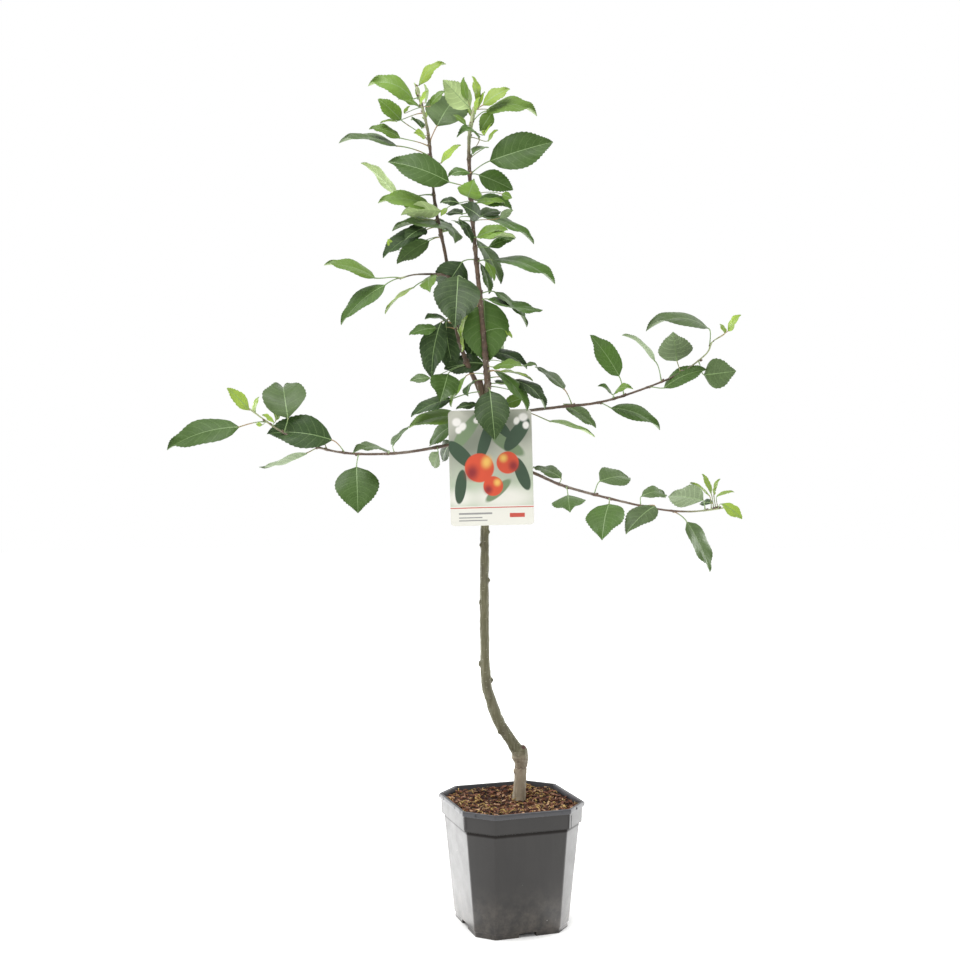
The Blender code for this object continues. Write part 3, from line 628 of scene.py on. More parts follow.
def young_bark(settings):
    """Limb bark: reddish brown with a grey skin in patches, pale pores and a greener tip."""
    made = Finish("young_bark", darker(settings.young, 0.62), 0.5, 0.45)
    place = made.place()
    fibres = made.mottle(place, 90.0, 5.0, 0.6)
    pore = made.spread(made.cells(place, 190.0), 0.17, 0.10)
    made.lay(darker(settings.young, 1.3), fibres, 0.35, 0.7)
    made.lay(settings.skin, made.mottle(place, 42.0, 3.0), 0.52, 0.68, 0.55)
    made.lay(settings.shoot, made.attribute("fresh"), 0.80, 0.96, 0.95)
    made.lay(settings.bark_light, made.times(pore, 0.75))
    made.relief(pore, 0.6, 0.0003)
    made.relief(fibres, 0.4, 0.0005)
    made.set("Roughness", made.spread(fibres, 0.3, 0.7, 0.4, 0.6))
    return made.done()


def blade_top(name, colour, vein_colour, sheen):
    """Upper side of a leaf: pale side veins, darker net between them, greyer patches of painted sheen and a
    waxy, crinkled skin.
    """
    made = Finish(name, darker(colour, 0.70), 0.45, 0.24)
    place = made.place()
    vein = made.attribute("vein")
    cloud = made.mottle(place, 42.0, 4.0, 0.6)
    net = made.cells(place, 420.0, "DISTANCE_TO_EDGE")
    made.lay(darker(colour, 1.35), made.attribute("tint"), 0.0, 1.0)
    # Painted sheen: greyer patches that stand for the sky reflected in the leaf.
    made.lay(sheen, cloud, 0.36, 0.66, 0.75)
    made.lay(vein_colour, net, 0.10, 0.0, 0.16)
    made.lay(vein_colour, vein, 0.78, 0.98, 0.20)
    made.relief(made.spread(vein, 0.6, 1.0, 1.0, 0.0), 0.2, 0.0005)
    made.relief(net, 0.15, 0.0004)
    made.set("Roughness", made.spread(cloud, 0.3, 0.7, 0.40, 0.54))
    made.set("Coat Weight", 0.03)
    made.set("Coat Roughness", 0.35)
    return made.done()


def blade_under(name, colour):
    """Underside of a leaf: pale, felted, with its veins raised."""
    made = Finish(name, darker(colour, 0.82), 0.75, 0.3)
    vein = made.attribute("vein")
    felt = made.mottle(made.place(), 700.0, 3.0, 0.7)
    made.lay(darker(colour, 1.12), made.attribute("tint"), 0.0, 1.0)
    made.lay(darker(colour, 1.25), felt, 0.3, 0.7, 0.4)
    made.lay(darker(colour, 1.5), vein, 0.72, 0.97, 0.6)
    made.relief(made.spread(vein, 0.6, 1.0), 0.25, 0.0006)
    made.relief(felt, 0.1, 0.0003)
    made.set("Sheen Weight", 0.25)
    return made.done()


def stalk_green(name, colour, blush):
    """Leaf stalks and ribs: pale green with a red blush in places."""
    made = Finish(name, colour, 0.45)
    place = made.place()
    down = made.mottle(place, 900.0, 2.0)
    made.lay(blush, made.mottle(place, 22.0, 2.0), 0.5, 0.66)
    made.lay(darker(colour, 1.3), down, 0.45, 0.7, 0.3)
    made.relief(down, 0.3, 0.0002)
    return made.done()


def card_print(settings):
    """Coated card with a plain generic picture: round fruits, oval leaves and bars in soft print colours."""
    made = Finish("card_print", settings.ground_low, 0.33)
    card = made.node("ShaderNodeUVMap", uv_map="card").outputs[0]
    made.lay(settings.ground_high, made.node("ShaderNodeSeparateXYZ", {0: card}).outputs["Y"], 0.25, 0.8)
    made.lay(darker(settings.ground_high, 0.8), made.mottle(card, 3.2, 3.0), 0.4, 0.7, 0.5)
    for kind, centre, half, turn in CARD_SHAPES:
        tint, edge = PRINTED[kind]
        made.lay(tint, print_mask(made, card, edge, centre, half, turn))
    grain = made.mottle(made.place(), 900.0, 2.0)
    made.set("Roughness", made.spread(grain, 0.3, 0.7, 0.28, 0.4))
    made.relief(grain, 0.1, 0.0001)
    return made.done()


def print_mask(made, card, edge, centre, half, turn):
    """Where one printed shape lies: an oval with a soft edge, or a bar, which has none."""
    inputs = {"Vector": card, "Location": (*centre, 0.0), "Rotation": (0.0, 0.0, math.radians(turn)),
              "Scale": (*half, 1.0)}
    local = made.node("ShaderNodeMapping", inputs, vector_type="TEXTURE").outputs[0]
    if edge is None:
        axes = made.node("ShaderNodeSeparateXYZ", {0: local})
        sizes = [made.sum("ABSOLUTE", axes.outputs[i]) for i in (0, 1)]
        return made.sum("LESS_THAN", made.sum("MAXIMUM", *sizes), 1.0)
    flat = made.node("ShaderNodeVectorMath", {0: local, 1: (1.0, 1.0, 0.0)}, operation="MULTIPLY").outputs[0]
    reach = made.node("ShaderNodeVectorMath", {0: flat}, operation="LENGTH").outputs["Value"]
    return made.spread(reach, 1.0, 1.0 - edge)


def card_back(settings):
    """The card's unprinted back, with a faint fibre."""
    made = Finish("card_back", settings.back, 0.5, 0.4)
    fibre = made.mottle(made.place(), 260.0, 5.0, 0.7)
    made.lay(darker(settings.back, 0.93), fibre, 0.3, 0.7)
    made.relief(fibre, 0.2, 0.0001)
    return made.done()


def strap_plastic(settings):
    """White flexible strip with a faint moulded grain."""
    made = Finish("strap_plastic", settings.strap, 0.4)
    cloud = made.mottle(made.place(), 120.0, 4.0)
    made.lay(darker(settings.strap, 0.88), cloud, 0.3, 0.7)
    made.set("Roughness", made.spread(cloud, 0.3, 0.7, 0.34, 0.5))
    made.relief(cloud, 0.2, 0.0002)
    return made.done()


def pale_floor(settings):
    """Matt pale floor of the studio, faintly cloudy, glowing with its own light round the pot but not under
    it, which paints a soft shadow at the pot's foot.
    """
    made = Finish("pale_floor", settings.floor, 0.9, 0.1)
    place = made.place()
    made.lay(darker(settings.floor, 0.985), made.mottle(place, 1.5, 3.0), 0.3, 0.7)
    reach = made.node("ShaderNodeVectorMath", {0: place}, operation="LENGTH").outputs["Value"]
    made.set("Emission Color", (1.0, 1.0, 1.0))
    # Painted shadow: the floor's glow is nought under the pot and fades in round its foot.
    made.set("Emission Strength", made.spread(reach, *PAINTED_SHADOW_REACH, 0.0, settings.glow))
    return made.done()


def colour_setting(name, description, default):
    """A colour that the panel shows, in linear red, green and blue."""
    return FloatVectorProperty(name=name, description=description, default=default, size=3, min=0.0,
                               max=1.0, subtype="COLOR")


def length_setting(name, description, default):
    """A length in metres that the panel shows."""
    return FloatProperty(name=name, description=description, default=default, min=0.0, precision=4,
                         subtype="DISTANCE", unit="LENGTH")


def amount_setting(name, description, default):
    """A number from nought up that the panel shows."""
    return FloatProperty(name=name, description=description, default=default, min=0.0)


def seed_setting(default):
    """The start of a piece's random draws, which the panel shows."""
    return IntProperty(name="Seed", description="Start of the random draws", default=default)


class PotSettings(bpy.types.PropertyGroup):
    """Sizes and colours of the pot."""

    edge: length_setting("Edge radius", "Radius that rounds the moulded edges", EDGE_RADIUS)
    plastic: colour_setting("Plastic", "Colour of the moulded plastic", (0.0195, 0.0175, 0.0165))
    # A painted reflection: lighter and bluer than the plastic, for the sky that the lip reflects.
    lip: colour_setting("Lip", "Colour of the shining lip", (0.060, 0.060, 0.066))
    dust: colour_setting("Dust", "Colour of the dust low on the walls", (0.150, 0.128, 0.105))


class CompostSettings(bpy.types.PropertyGroup):
    """Amount, sizes and colours of the bark chips."""

    density: amount_setting("Chips", "Chips of each kind on a square metre", 30000.0)
    smallest: length_setting("Smallest chip", "Length of the smallest chips", 0.0028)
    largest: length_setting("Largest chip", "Length of the largest chips", 0.0120)
    heap: length_setting("Heap", "How much higher the compost lies along the wall", 0.0080)
    seed: seed_setting(4)
    dark: colour_setting("Dark", "Colour of the wet chips", (0.040, 0.020, 0.014))
    brown: colour_setting("Brown", "Colour of the reddish chips", (0.185, 0.060, 0.030))
    tan: colour_setting("Tan", "Colour of the dry golden slivers", (0.62, 0.42, 0.13))
    pale: colour_setting("Pale", "Colour of fresh broken faces", (0.70, 0.47, 0.30))


class WoodSettings(bpy.types.PropertyGroup):
    """Relief and colours of trunk and limbs."""

    voxel: length_setting("Cell", "Cell size of the trunk's fine mesh", 0.0012)
    relief: length_setting("Relief", "Height of the trunk's bark relief", 0.0007)
    rootstock: colour_setting("Rootstock", "Bark under the graft", (0.350, 0.290, 0.210))
    scion: colour_setting("Scion", "Bark over the graft", (0.108, 0.102, 0.054))
    bark_light: colour_setting("Light streaks", "Raised pores and dry streaks", (0.400, 0.370, 0.270))
    bark_dark: colour_setting("Dark streaks", "Cracks and damp streaks", (0.052, 0.042, 0.026))
    scar: colour_setting("Scars", "Old cuts", (0.075, 0.034, 0.027))
    young: colour_setting("Young bark", "Reddish bark of the limbs", (0.108, 0.067, 0.045))
    skin: colour_setting("Grey skin", "Grey patches on the limbs", (0.260, 0.225, 0.180))
    shoot: colour_setting("Shoot", "Green of the newest wood", (0.360, 0.400, 0.220))


class LeafSettings(bpy.types.PropertyGroup):
    """Form, colours and number of the leaves."""

    thickness: length_setting("Thickness", "Thickness of a blade", 0.00042)
    tooth: length_setting("Teeth", "Depth of the teeth on the margin", 0.0013)
    quilt: length_setting("Quilting", "How far a blade bulges between its veins", 0.0008)
    seed: seed_setting(11)
    hidden: IntProperty(name="Hidden leaves", description="Most leaves that the rule adds to one limb",
                        default=24, min=0)
    mature: colour_setting("Mature", "Full-grown leaves", (0.060, 0.124, 0.020))
    grey: colour_setting("Grey", "Full-grown leaves that shine with the sky", (0.092, 0.145, 0.052))
    # Partly the deeper green of old leaves, partly painted shade for leaves in the crown's shadow.
    dark: colour_setting("Dark", "Old leaves deep in the crown", (0.021, 0.047, 0.012))
    # Painted shade: a darker copy of the leaf green for the leaves that face the viewer at the crown's front.
    core: colour_setting("Core", "Old leaves at the front of the crown", (0.027, 0.056, 0.014))
    # Partly the fresher green of half-grown leaves, partly painted light: brightened to stand for light
    # shining through them at the top of the crown.
    bright: colour_setting("Bright", "Half-grown leaves", (0.145, 0.250, 0.036))
    # Partly the yellow-green of new leaves, partly painted light: brightened to stand for light shining
    # through them.
    young: colour_setting("Young", "Newest leaves", (0.300, 0.430, 0.060))
    under: colour_setting("Underside", "Undersides of grown leaves", (0.205, 0.275, 0.140))
    under_young: colour_setting("Young underside", "Undersides of young leaves", (0.330, 0.430, 0.180))
    rib: colour_setting("Ribs", "Ribs and side veins", (0.200, 0.300, 0.115))
    blush: colour_setting("Blush", "Red side of the stalks", (0.340, 0.190, 0.090))


class CardSettings(bpy.types.PropertyGroup):
    """Colours of the hanging card and its strap."""

    bow: length_setting("Bow", "How far the card's sides bend forward", 0.0022)
    ground_high: colour_setting("Upper ground", "Print ground at the top", (0.50, 0.50, 0.43))
    ground_low: colour_setting("Lower ground", "Print ground at the bottom", (0.42, 0.50, 0.36))
    back: colour_setting("Back", "Unprinted back", (0.760, 0.750, 0.710))
    strap: colour_setting("Strap", "White plastic of the strap", (0.800, 0.800, 0.780))


class StageSettings(bpy.types.PropertyGroup):
    """Floor and light of the studio."""

    floor: colour_setting("Floor", "Colour of the floor", (0.86, 0.86, 0.85))
    reach: length_setting("Floor reach", "Radius of the floor", 9.0)
    # The floor's own glow, which fades out round the pot's foot as a painted shadow.
    glow: amount_setting("Glow", "Light of the lit table's own", 0.6)
    sky: amount_setting("Surroundings", "Strength of the even light", 0.55)
    panels: amount_setting("Panels", "Share of their power that the panels give", 1.0)


class TreeSettings(bpy.types.PropertyGroup):
    """All settings of the potted tree."""

    pot: PointerProperty(type=PotSettings)
    compost: PointerProperty(type=CompostSettings)
    wood: PointerProperty(type=WoodSettings)
    leaf: PointerProperty(type=LeafSettings)
    card: PointerProperty(type=CardSettings)
    stage: PointerProperty(type=StageSettings)


def pot_outline(side, corner_cut, height):
    """A level outline of the pot: a square with cut corners, each corner rounded by an arc."""
    half = side / 2
    inner = half - corner_cut
    corners = []
    for turn in range(4):
        spin = Matrix.Rotation(turn * math.pi / 2 + POT_TURN, 3, "Z")
        corners += [spin @ Vector((inner, -half, 0.0)), spin @ Vector((half, -inner, 0.0))]
    bend = math.pi / 8
    points = []
    for i, corner in enumerate(corners):
        before = (corner - corners[i - 1]).normalized()
        after = (corners[(i + 1) % 8] - corner).normalized()
        centre = corner + (after - before).normalized() * (CORNER_RADIUS / math.cos(bend))
        start = corner - before * (CORNER_RADIUS * math.tan(bend)) - centre
        for step in range(CORNER_STEPS + 1):
            turned = Matrix.Rotation(2 * bend * step / CORNER_STEPS, 3, "Z") @ start + centre
            points.append((turned.x, turned.y, height))
    return points


def body_section(height, inset=0.0):
    """Side and corner cut of the pot's tapering body at a height, moved in by an inset."""
    step = LIP_PROUD + COLLAR_DRAFT + COLLAR_STEP
    part = (height - FOOT_HEIGHT) / (COLLAR_FOOT - FOOT_HEIGHT)
    side = FOOT_SIDE + (RIM_SIDE - 2 * step - FOOT_SIDE) * part
    corner_cut = FOOT_CUT + (RIM_CUT - CUT_SHARE * step - FOOT_CUT) * part
    return side - 2 * inset, corner_cut - CUT_SHARE * inset, height


def collar_section(height, inset=0.0):
    """Side and corner cut of the collar under the lip at a height, moved in by an inset."""
    drop = (LIP_FOOT - height) / (COLLAR_HEIGHT - LIP_HEIGHT)
    move = LIP_PROUD + COLLAR_DRAFT * drop + inset
    return RIM_SIDE - 2 * move, RIM_CUT - CUT_SHARE * move, height


def at_height(section, height):
    """The same section at another height."""
    return section[0], section[1], height


def softened(sections, radius):
    """A run of pot sections with every edge between them rounded off by three sections."""
    run = [sections[0]]
    for before, here, after in zip(sections, sections[1:], sections[2:]):
        ends = []
        for other in (before, after):
            step = math.hypot((other[0] - here[0]) / 2, other[2] - here[2])
            share = min(radius / step, 0.45)
            ends.append([a + (b - a) * share for a, b in zip(here, other)])
        middle = [(a + 2 * b + c) / 4 for a, b, c in zip(ends[0], here, ends[1])]
        run += [ends[0], middle, ends[1]]
    return run + [sections[-1]]


def pot_sections():
    """The pot's sections from the pad under its floor, up the outer wall, over the lip and down inside."""
    foot = body_section(FOOT_HEIGHT, FOOT_INSET)
    ring = body_section(FOOT_HEIGHT, FOOT_INSET + FOOT_WIDTH)
    pad = (PAD_SIDE, PAD_SIDE / 4, 0.0)
    rim = (RIM_SIDE, RIM_CUT, LIP_FOOT)
    return [
        pad, at_height(pad, FOOT_HEIGHT), ring, at_height(ring, 0.0), at_height(foot, 0.0), foot,
        body_section(FOOT_HEIGHT + FOOT_INSET), body_section(COLLAR_FOOT), collar_section(COLLAR_FOOT),
        collar_section(LIP_FOOT), rim, at_height(rim, POT_HEIGHT),
        at_height(collar_section(LIP_FOOT, WALL), POT_HEIGHT), collar_section(COLLAR_FOOT, WALL),
        body_section(COLLAR_FOOT - WALL, WALL), body_section(FOOT_HEIGHT + FLOOR, WALL),
    ]


def box_shape(shape, spin, centre, size):
    """Add a box, turned about the pot's axis, to a bmesh."""
    place = spin @ Matrix.Translation(centre) @ Matrix.Diagonal((*size, 1.0))
    bmesh.ops.create_cube(shape, size=1.0, matrix=place)


def pot_cutouts():
    """What is cut from the pot: foot notches, drain holes and a slot in the lip at each cut corner."""
    shape = bmesh.new()
    lip_middle = POT_HEIGHT - LIP_HEIGHT / 2
    chamfer_reach = (RIM_SIDE - RIM_CUT) / math.sqrt(2)
    for turn in range(4):
        spin = Matrix.Rotation(POT_TURN + turn * math.pi / 2, 4, "Z")
        box_shape(shape, spin, (FOOT_SIDE / 2 - FOOT_WIDTH / 2, 0.0, NOTCH_HEIGHT / 2 - CUT_MARGIN),
                  (FOOT_WIDTH * 2, NOTCH_WIDTH, NOTCH_HEIGHT + 2 * CUT_MARGIN))
        diagonal = spin @ Matrix.Rotation(math.pi / 4, 4, "Z")
        box_shape(shape, diagonal, (chamfer_reach, SLOT_OFFSET, lip_middle), SLOT_SIZE)
        drain = diagonal @ Matrix.Translation((DRAIN_REACH, 0.0, FOOT_HEIGHT))
        bmesh.ops.create_cone(shape, cap_ends=True, segments=28, radius1=DRAIN_RADIUS,
                              radius2=DRAIN_RADIUS, depth=4 * FLOOR, matrix=drain)
    return object_from("pot_cutouts", shape)


def pot_ticks():
    """Thin upright mould lines that stand on the lip and the collar of each side."""
    shape = bmesh.new()
    lean = math.atan(COLLAR_DRAFT / (COLLAR_HEIGHT - LIP_HEIGHT))
    for turn in range(4):
        spin = Matrix.Rotation(POT_TURN + turn * math.pi / 2, 4, "Z")
        for across in TICKS:
            box_shape(shape, spin, (RIM_SIDE / 2, across, POT_HEIGHT - LIP_HEIGHT / 2),
                      (TICK_PROUD * 2, TICK_WIDTH, LIP_HEIGHT - 2 * EDGE_RADIUS))
        middle = collar_section((COLLAR_FOOT + LIP_FOOT) / 2)
        for across in COLLAR_LINES:
            tilt = Matrix.Translation((middle[0] / 2, across, middle[2])) @ Matrix.Rotation(lean, 4, "Y")
            box_shape(shape, spin @ tilt, (0.0, 0.0, 0.0),
                      (TICK_PROUD * 2, TICK_WIDTH * 0.8, COLLAR_HEIGHT - LIP_HEIGHT - 4 * EDGE_RADIUS))
    return object_from("pot_ticks", shape)


def join_with(thing, other, operation):
    """Cut or add another closed mesh, and drop the other object."""
    modifier = thing.modifiers.new(operation.lower(), "BOOLEAN")
    modifier.operation = operation
    modifier.object = other
    settle(thing)
    bpy.data.objects.remove(other)


class BuildPot(bpy.types.Operator):
    """Make the moulded pot with its lip, collar, foot ring, notches and drain holes"""

    bl_idname = "potted_tree.pot"
    bl_label = "Pot"

    def execute(self, context):
        settings = context.scene.potted_tree.pot
        sections = softened(pot_sections(), settings.edge)
        pot = lofted("pot_shell", [pot_outline(*section) for section in sections])
        join_with(pot, pot_cutouts(), "DIFFERENCE")
        join_with(pot, pot_ticks(), "UNION")
        paint(pot, pot_plastic(settings), smooth_angle=28)
        as_piece(pot, "pot_plastic", "pot")
        return {"FINISHED"}


def start_geometry_tree(name, inputs):
    """A geometry node tree with inputs of these kinds, as (tree, its input node's outputs)."""
    tree = bpy.data.node_groups.new(name, "GeometryNodeTree")
    for label, kind in {"Geometry": "Geometry", **inputs}.items():
        tree.interface.new_socket(label, in_out="INPUT", socket_type=f"NodeSocket{kind}")
    tree.interface.new_socket("Geometry", in_out="OUTPUT", socket_type="NodeSocketGeometry")
    return tree, tree.nodes.new("NodeGroupInput").outputs


def end_geometry_tree(tree, instances, material):
    """Realize the instances, give them their material and link them to the tree's output."""
    real = add_node(tree, "GeometryNodeRealizeInstances", {0: instances}).outputs[0]
    painted = add_node(tree, "GeometryNodeSetMaterial", {"Geometry": real, "Material": material}).outputs[0]
    tree.links.new(painted, tree.nodes.new("NodeGroupOutput").inputs[0])
    return tree


def random_node(tree, kind, low, high, seed):
    """A random vector or number for each point, between two limits."""
    order = ("FLOAT_VECTOR", "FLOAT").index(kind)
    inputs = {2 * order: low, 2 * order + 1: high, "Seed": seed}
    return add_node(tree, "FunctionNodeRandomValue", inputs, data_type=kind).outputs[order]


def made_by_nodes(name, mesh, tree, values):
    """A new object whose plain mesh is what a geometry node tree makes of a mesh."""
    thing = linked(name, mesh)
    modifier = thing.modifiers.new("nodes", "NODES")
    modifier.node_group = tree
    for socket in tree.interface.items_tree:
        if socket.in_out == "INPUT" and socket.name in values:
            modifier[socket.identifier] = values[socket.name]
    settle(thing)
    return thing


def chip_template(name, seed, kind):
    """One bark chip, a metre long and of a few faces: flat and jagged, or curled like a shaving."""
    draw = random.Random(seed)
    width = draw.uniform(*kind.widths)
    thick = draw.uniform(*kind.thicks)
    shape = bmesh.new()
    rings = []
    for i in range(CHIP_STEPS + 1):
        along = i / CHIP_STEPS - 0.5
        half = width * (1 - 1.6 * along * along) * draw.uniform(0.75, 1.2)
        rise = kind.curl * (1 - 4 * along * along)
        ring = []
        for y, z in ((-half, -thick), (half, -thick), (half, thick), (-half, thick)):
            ring.append((along + draw.uniform(-0.07, 0.07), y * draw.uniform(0.8, 1.1), rise + z))
        rings.append(ring)
    loft(shape, rings)
    bmesh.ops.recalc_face_normals(shape, faces=shape.faces)
    return bpy.data.objects.new(name, mesh_from(name, shape))


def strewing_tree():
    """Geometry nodes that strew chips of random size and turn over a surface."""
    tree, given = start_geometry_tree("strew_chips", {
        "Chips": "Collection", "Density": "Float", "Smallest": "Float", "Largest": "Float", "Tilt": "Float",
        "Heap": "Float", "Seed": "Int", "Material": "Material"})
    seed = given["Seed"]
    spots = add_node(tree, "GeometryNodeDistributePointsOnFaces", {
        "Mesh": given["Geometry"], "Density": given["Density"], "Seed": seed}).outputs["Points"]
    tilt = given["Tilt"]
    back = sum_node(tree, "MULTIPLY", tilt, -1.0)
    low = add_node(tree, "ShaderNodeCombineXYZ", {"X": back, "Y": back}).outputs[0]
    high = add_node(tree, "ShaderNodeCombineXYZ", {"X": tilt, "Y": tilt, "Z": 2 * math.pi}).outputs[0]
    turn = random_node(tree, "FLOAT_VECTOR", low, high, seed)
    top = add_node(tree, "ShaderNodeCombineXYZ", {"Z": given["Heap"]}).outputs[0]
    rise = random_node(tree, "FLOAT_VECTOR", (0.0, 0.0, 0.0), top, seed)
    raised = add_node(tree, "GeometryNodeSetPosition", {"Geometry": spots, "Offset": rise}).outputs[0]
    share = sum_node(tree, "POWER", random_node(tree, "FLOAT", 0.0, 1.0, seed), SMALL_CHIPS)
    size = add_node(tree, "ShaderNodeMapRange", {
        "Value": share, "To Min": given["Smallest"], "To Max": given["Largest"]}).outputs[0]
    chips = add_node(tree, "GeometryNodeCollectionInfo", {
        "Collection": given["Chips"], "Separate Children": True, "Reset Children": True}).outputs[0]
    placed = add_node(tree, "GeometryNodeInstanceOnPoints", {
        "Points": raised, "Instance": chips, "Pick Instance": True, "Rotation": turn, "Scale": size})
    return end_geometry_tree(tree, placed.outputs[0], given["Material"])


def compost_surface(heap):
    """The growing medium's top as a mesh of its own, a little in from the wall and higher towards it."""
    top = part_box("growing_medium")[1].z - HEAP_SEARCH
    shape = bmesh.new()
    shape.from_mesh(frame["nodes"]["growing_medium"].data)
    bmesh.ops.remove_doubles(shape, verts=shape.verts, dist=1e-6)
    shape.normal_update()
    rest = [face for face in shape.faces if face.normal.z < 0.5 or face.calc_center_median().z < top]
    bmesh.ops.delete(shape, geom=rest, context="FACES")
    for corner in shape.verts:
        corner.co.x *= 1 - HEAP_INSET
        corner.co.y *= 1 - HEAP_INSET
        corner.co.z += HEAP_LIFT + heap * smoothstep(*HEAP_REACH, corner.co.xy.length)
    return mesh_from("compost_surface", shape)


class BuildCompost(bpy.types.Operator):
    """Finish the compost and strew dark, brown and golden bark chips over it"""

    bl_idname = "potted_tree.compost"
    bl_label = "Compost"

    def execute(self, context):
        settings = context.scene.potted_tree.compost
        finishes = [chip_finish(kind.finish, getattr(settings, kind.colour), getattr(settings, kind.light))
                    for kind in CHIPS]
        medium = frame["nodes"]["growing_medium"]
        paint(medium, finishes[0])
        heap = linked("compost_heap", compost_surface(settings.heap))
        heap.modifiers.new("body", "SOLIDIFY").thickness = HEAP_DEPTH
        settle(heap)
        paint(heap, finishes[0])
        as_piece(heap, "bark_compost")
        tree = strewing_tree()
        for order, (kind, finish) in enumerate(zip(CHIPS, finishes)):
            name = f"chips_{kind.colour}"
            templates = bpy.data.collections.new(name)
            for i in range(CHIP_TEMPLATES):
                templates.objects.link(chip_template(f"{name}_{i}", settings.seed + 10 * order + i, kind))
            chips = made_by_nodes(name, compost_surface(settings.heap), tree, {
                "Chips": templates, "Density": settings.density * kind.share, "Smallest": settings.smallest,
                "Largest": settings.largest, "Tilt": CHIP_TILT, "Heap": kind.heap,
                "Seed": settings.seed + order, "Material": finish})
            for template in list(templates.objects):
                bpy.data.objects.remove(template)
            bpy.data.collections.remove(templates)
            as_piece(chips, "bark_compost")
        return {"FINISHED"}


def trunk_radius(height):
    """The trunk's radius at a height: taper, flare at the foot and swelling at the graft union."""
    part = (height - TRUNK_FOOT) / (FORK_HEIGHT - TRUNK_FOOT)
    upper = TRUNK_TOP_RADIUS + (TRUNK_FOOT_RADIUS - TRUNK_TOP_RADIUS) * 0.2 * (1 - part)
    taper = upper + (TRUNK_FOOT_RADIUS - upper) * max(0.0, 1 - part / TRUNK_WAIST) ** 0.6
    flare = FLARE * math.exp(-(height - TRUNK_FOOT) / FLARE_HEIGHT)
    union = UNION_SWELL * math.exp(-((height - UNION_HEIGHT) / UNION_SPREAD) ** 2)
    return taper + flare + union


def add_blob(shape, centre, half_width, half_height):
    """Add a small egg-shaped swelling."""
    size = Matrix.Diagonal((half_width, half_width, half_height, 1.0))
    bmesh.ops.create_icosphere(shape, subdivisions=3, radius=1.0, matrix=Matrix.Translation(centre) @ size)


def trunk_solid(settings):
    """The trunk as one fine mesh: tube, rootstock shoulder, knots and the old stub at the fork."""
    stations = smooth_route(TRUNK_ROUTE, TRUNK_SPACING)
    shape = bmesh.new()
    radii = [trunk_radius(station.z) for station in stations]
    loft(shape, tube_rings(stations, radii, TRUNK_SIDES, level_foot=True))
    add_blob(shape, from_photo(SHOULDER_PIXEL, GRAFT_DEPTH), *SHOULDER)
    for pixel, depth, size in KNOTS:
        add_blob(shape, from_photo(pixel, depth - KNOT_SINK), size * 0.8, size * 1.3)
    add_blob(shape, stations[-1] - Vector((0.0, 0.0, KNOT_SINK)), *FORK_KNOT)
    steps = range(STUB_STEPS + 1)
    stub = [Vector(STUB_FOOT).lerp(Vector(STUB_END), i / STUB_STEPS) for i in steps]
    radii = [STUB_RADII[0] + (STUB_RADII[1] - STUB_RADII[0]) * i / STUB_STEPS for i in steps]
    loft(shape, tube_rings(stub, radii, STUB_SIDES))
    trunk = object_from("trunk_wood", shape)
    remesh = trunk.modifiers.new("remesh", "REMESH")
    remesh.mode = "VOXEL"
    remesh.voxel_size = settings.voxel
    smooth = trunk.modifiers.new("smooth", "SMOOTH")
    smooth.factor = 0.5
    smooth.iterations = 3
    settle(trunk)
    return trunk


def carve_bark(trunk, relief):
    """Move the trunk's surface in and out: long fissures, cross wrinkles at the graft, fine pores."""
    mesh = trunk.data
    normals = [corner.normal.copy() for corner in mesh.vertices]
    scar_spot = from_photo(SHOULDER_SCAR_PIXEL, GRAFT_DEPTH - SHOULDER[0] * 0.6)
    stub_end = Vector(STUB_END)
    foot = TRUNK_FOOT + 0.002
    scars = []
    for corner, normal in zip(mesh.vertices, normals):
        place = corner.co.copy()
        long_grain = noise.fractal(Vector((place.x * 260, place.y * 260, place.z * 42)), 0.8, 2.0, 3)
        bumps = noise.noise(place * 130)
        near_graft = math.exp(-((place.z - UNION_HEIGHT) / 0.016) ** 2)
        wrinkle = noise.noise(Vector((place.x * 60, place.y * 60, place.z * 520))) * near_graft
        ring = math.exp(-((place.z - RING_HEIGHT - 0.0012 * math.sin(place.x * 900)) / 0.0011) ** 2)
        away = long_grain * relief + bumps * relief * 0.7 + wrinkle * relief * 1.3 - ring * relief * 1.4
        fades = smoothstep(foot, foot + 0.006, place.z)
        corner.co += normal * away * fades
        stub = 1 - smoothstep(0.0, SCAR_REACH, (place - stub_end).length - STUB_RADII[1] * 0.7)
        lens = place - scar_spot
        lens = math.hypot(lens.x / SHOULDER_SCAR[0], lens.z / SHOULDER_SCAR[1], lens.y / SCAR_DEPTH)
        cut = 1 - smoothstep(0.75, 1.1, lens)
        scars.append(max(stub, cut, ring * 0.55))
    mesh.attributes.new("scar", "FLOAT", "POINT").data.foreach_set("value", scars)


class BuildTrunk(bpy.types.Operator):
    """Make the trunk with root flare, graft union, knots and bark relief"""

    bl_idname = "potted_tree.trunk"
    bl_label = "Trunk"

    def execute(self, context):
        settings = context.scene.potted_tree.wood
        trunk = trunk_solid(settings)
        carve_bark(trunk, settings.relief)
        paint(trunk, old_bark(settings), smooth_angle=60)
        as_piece(trunk, "bark", "trunk")
        return {"FINISHED"}


def limb_radius(limb, part):
    """A limb's radius a part of the way from foot to tip."""
    return limb.foot + (limb.tip - limb.foot) * part ** 0.8


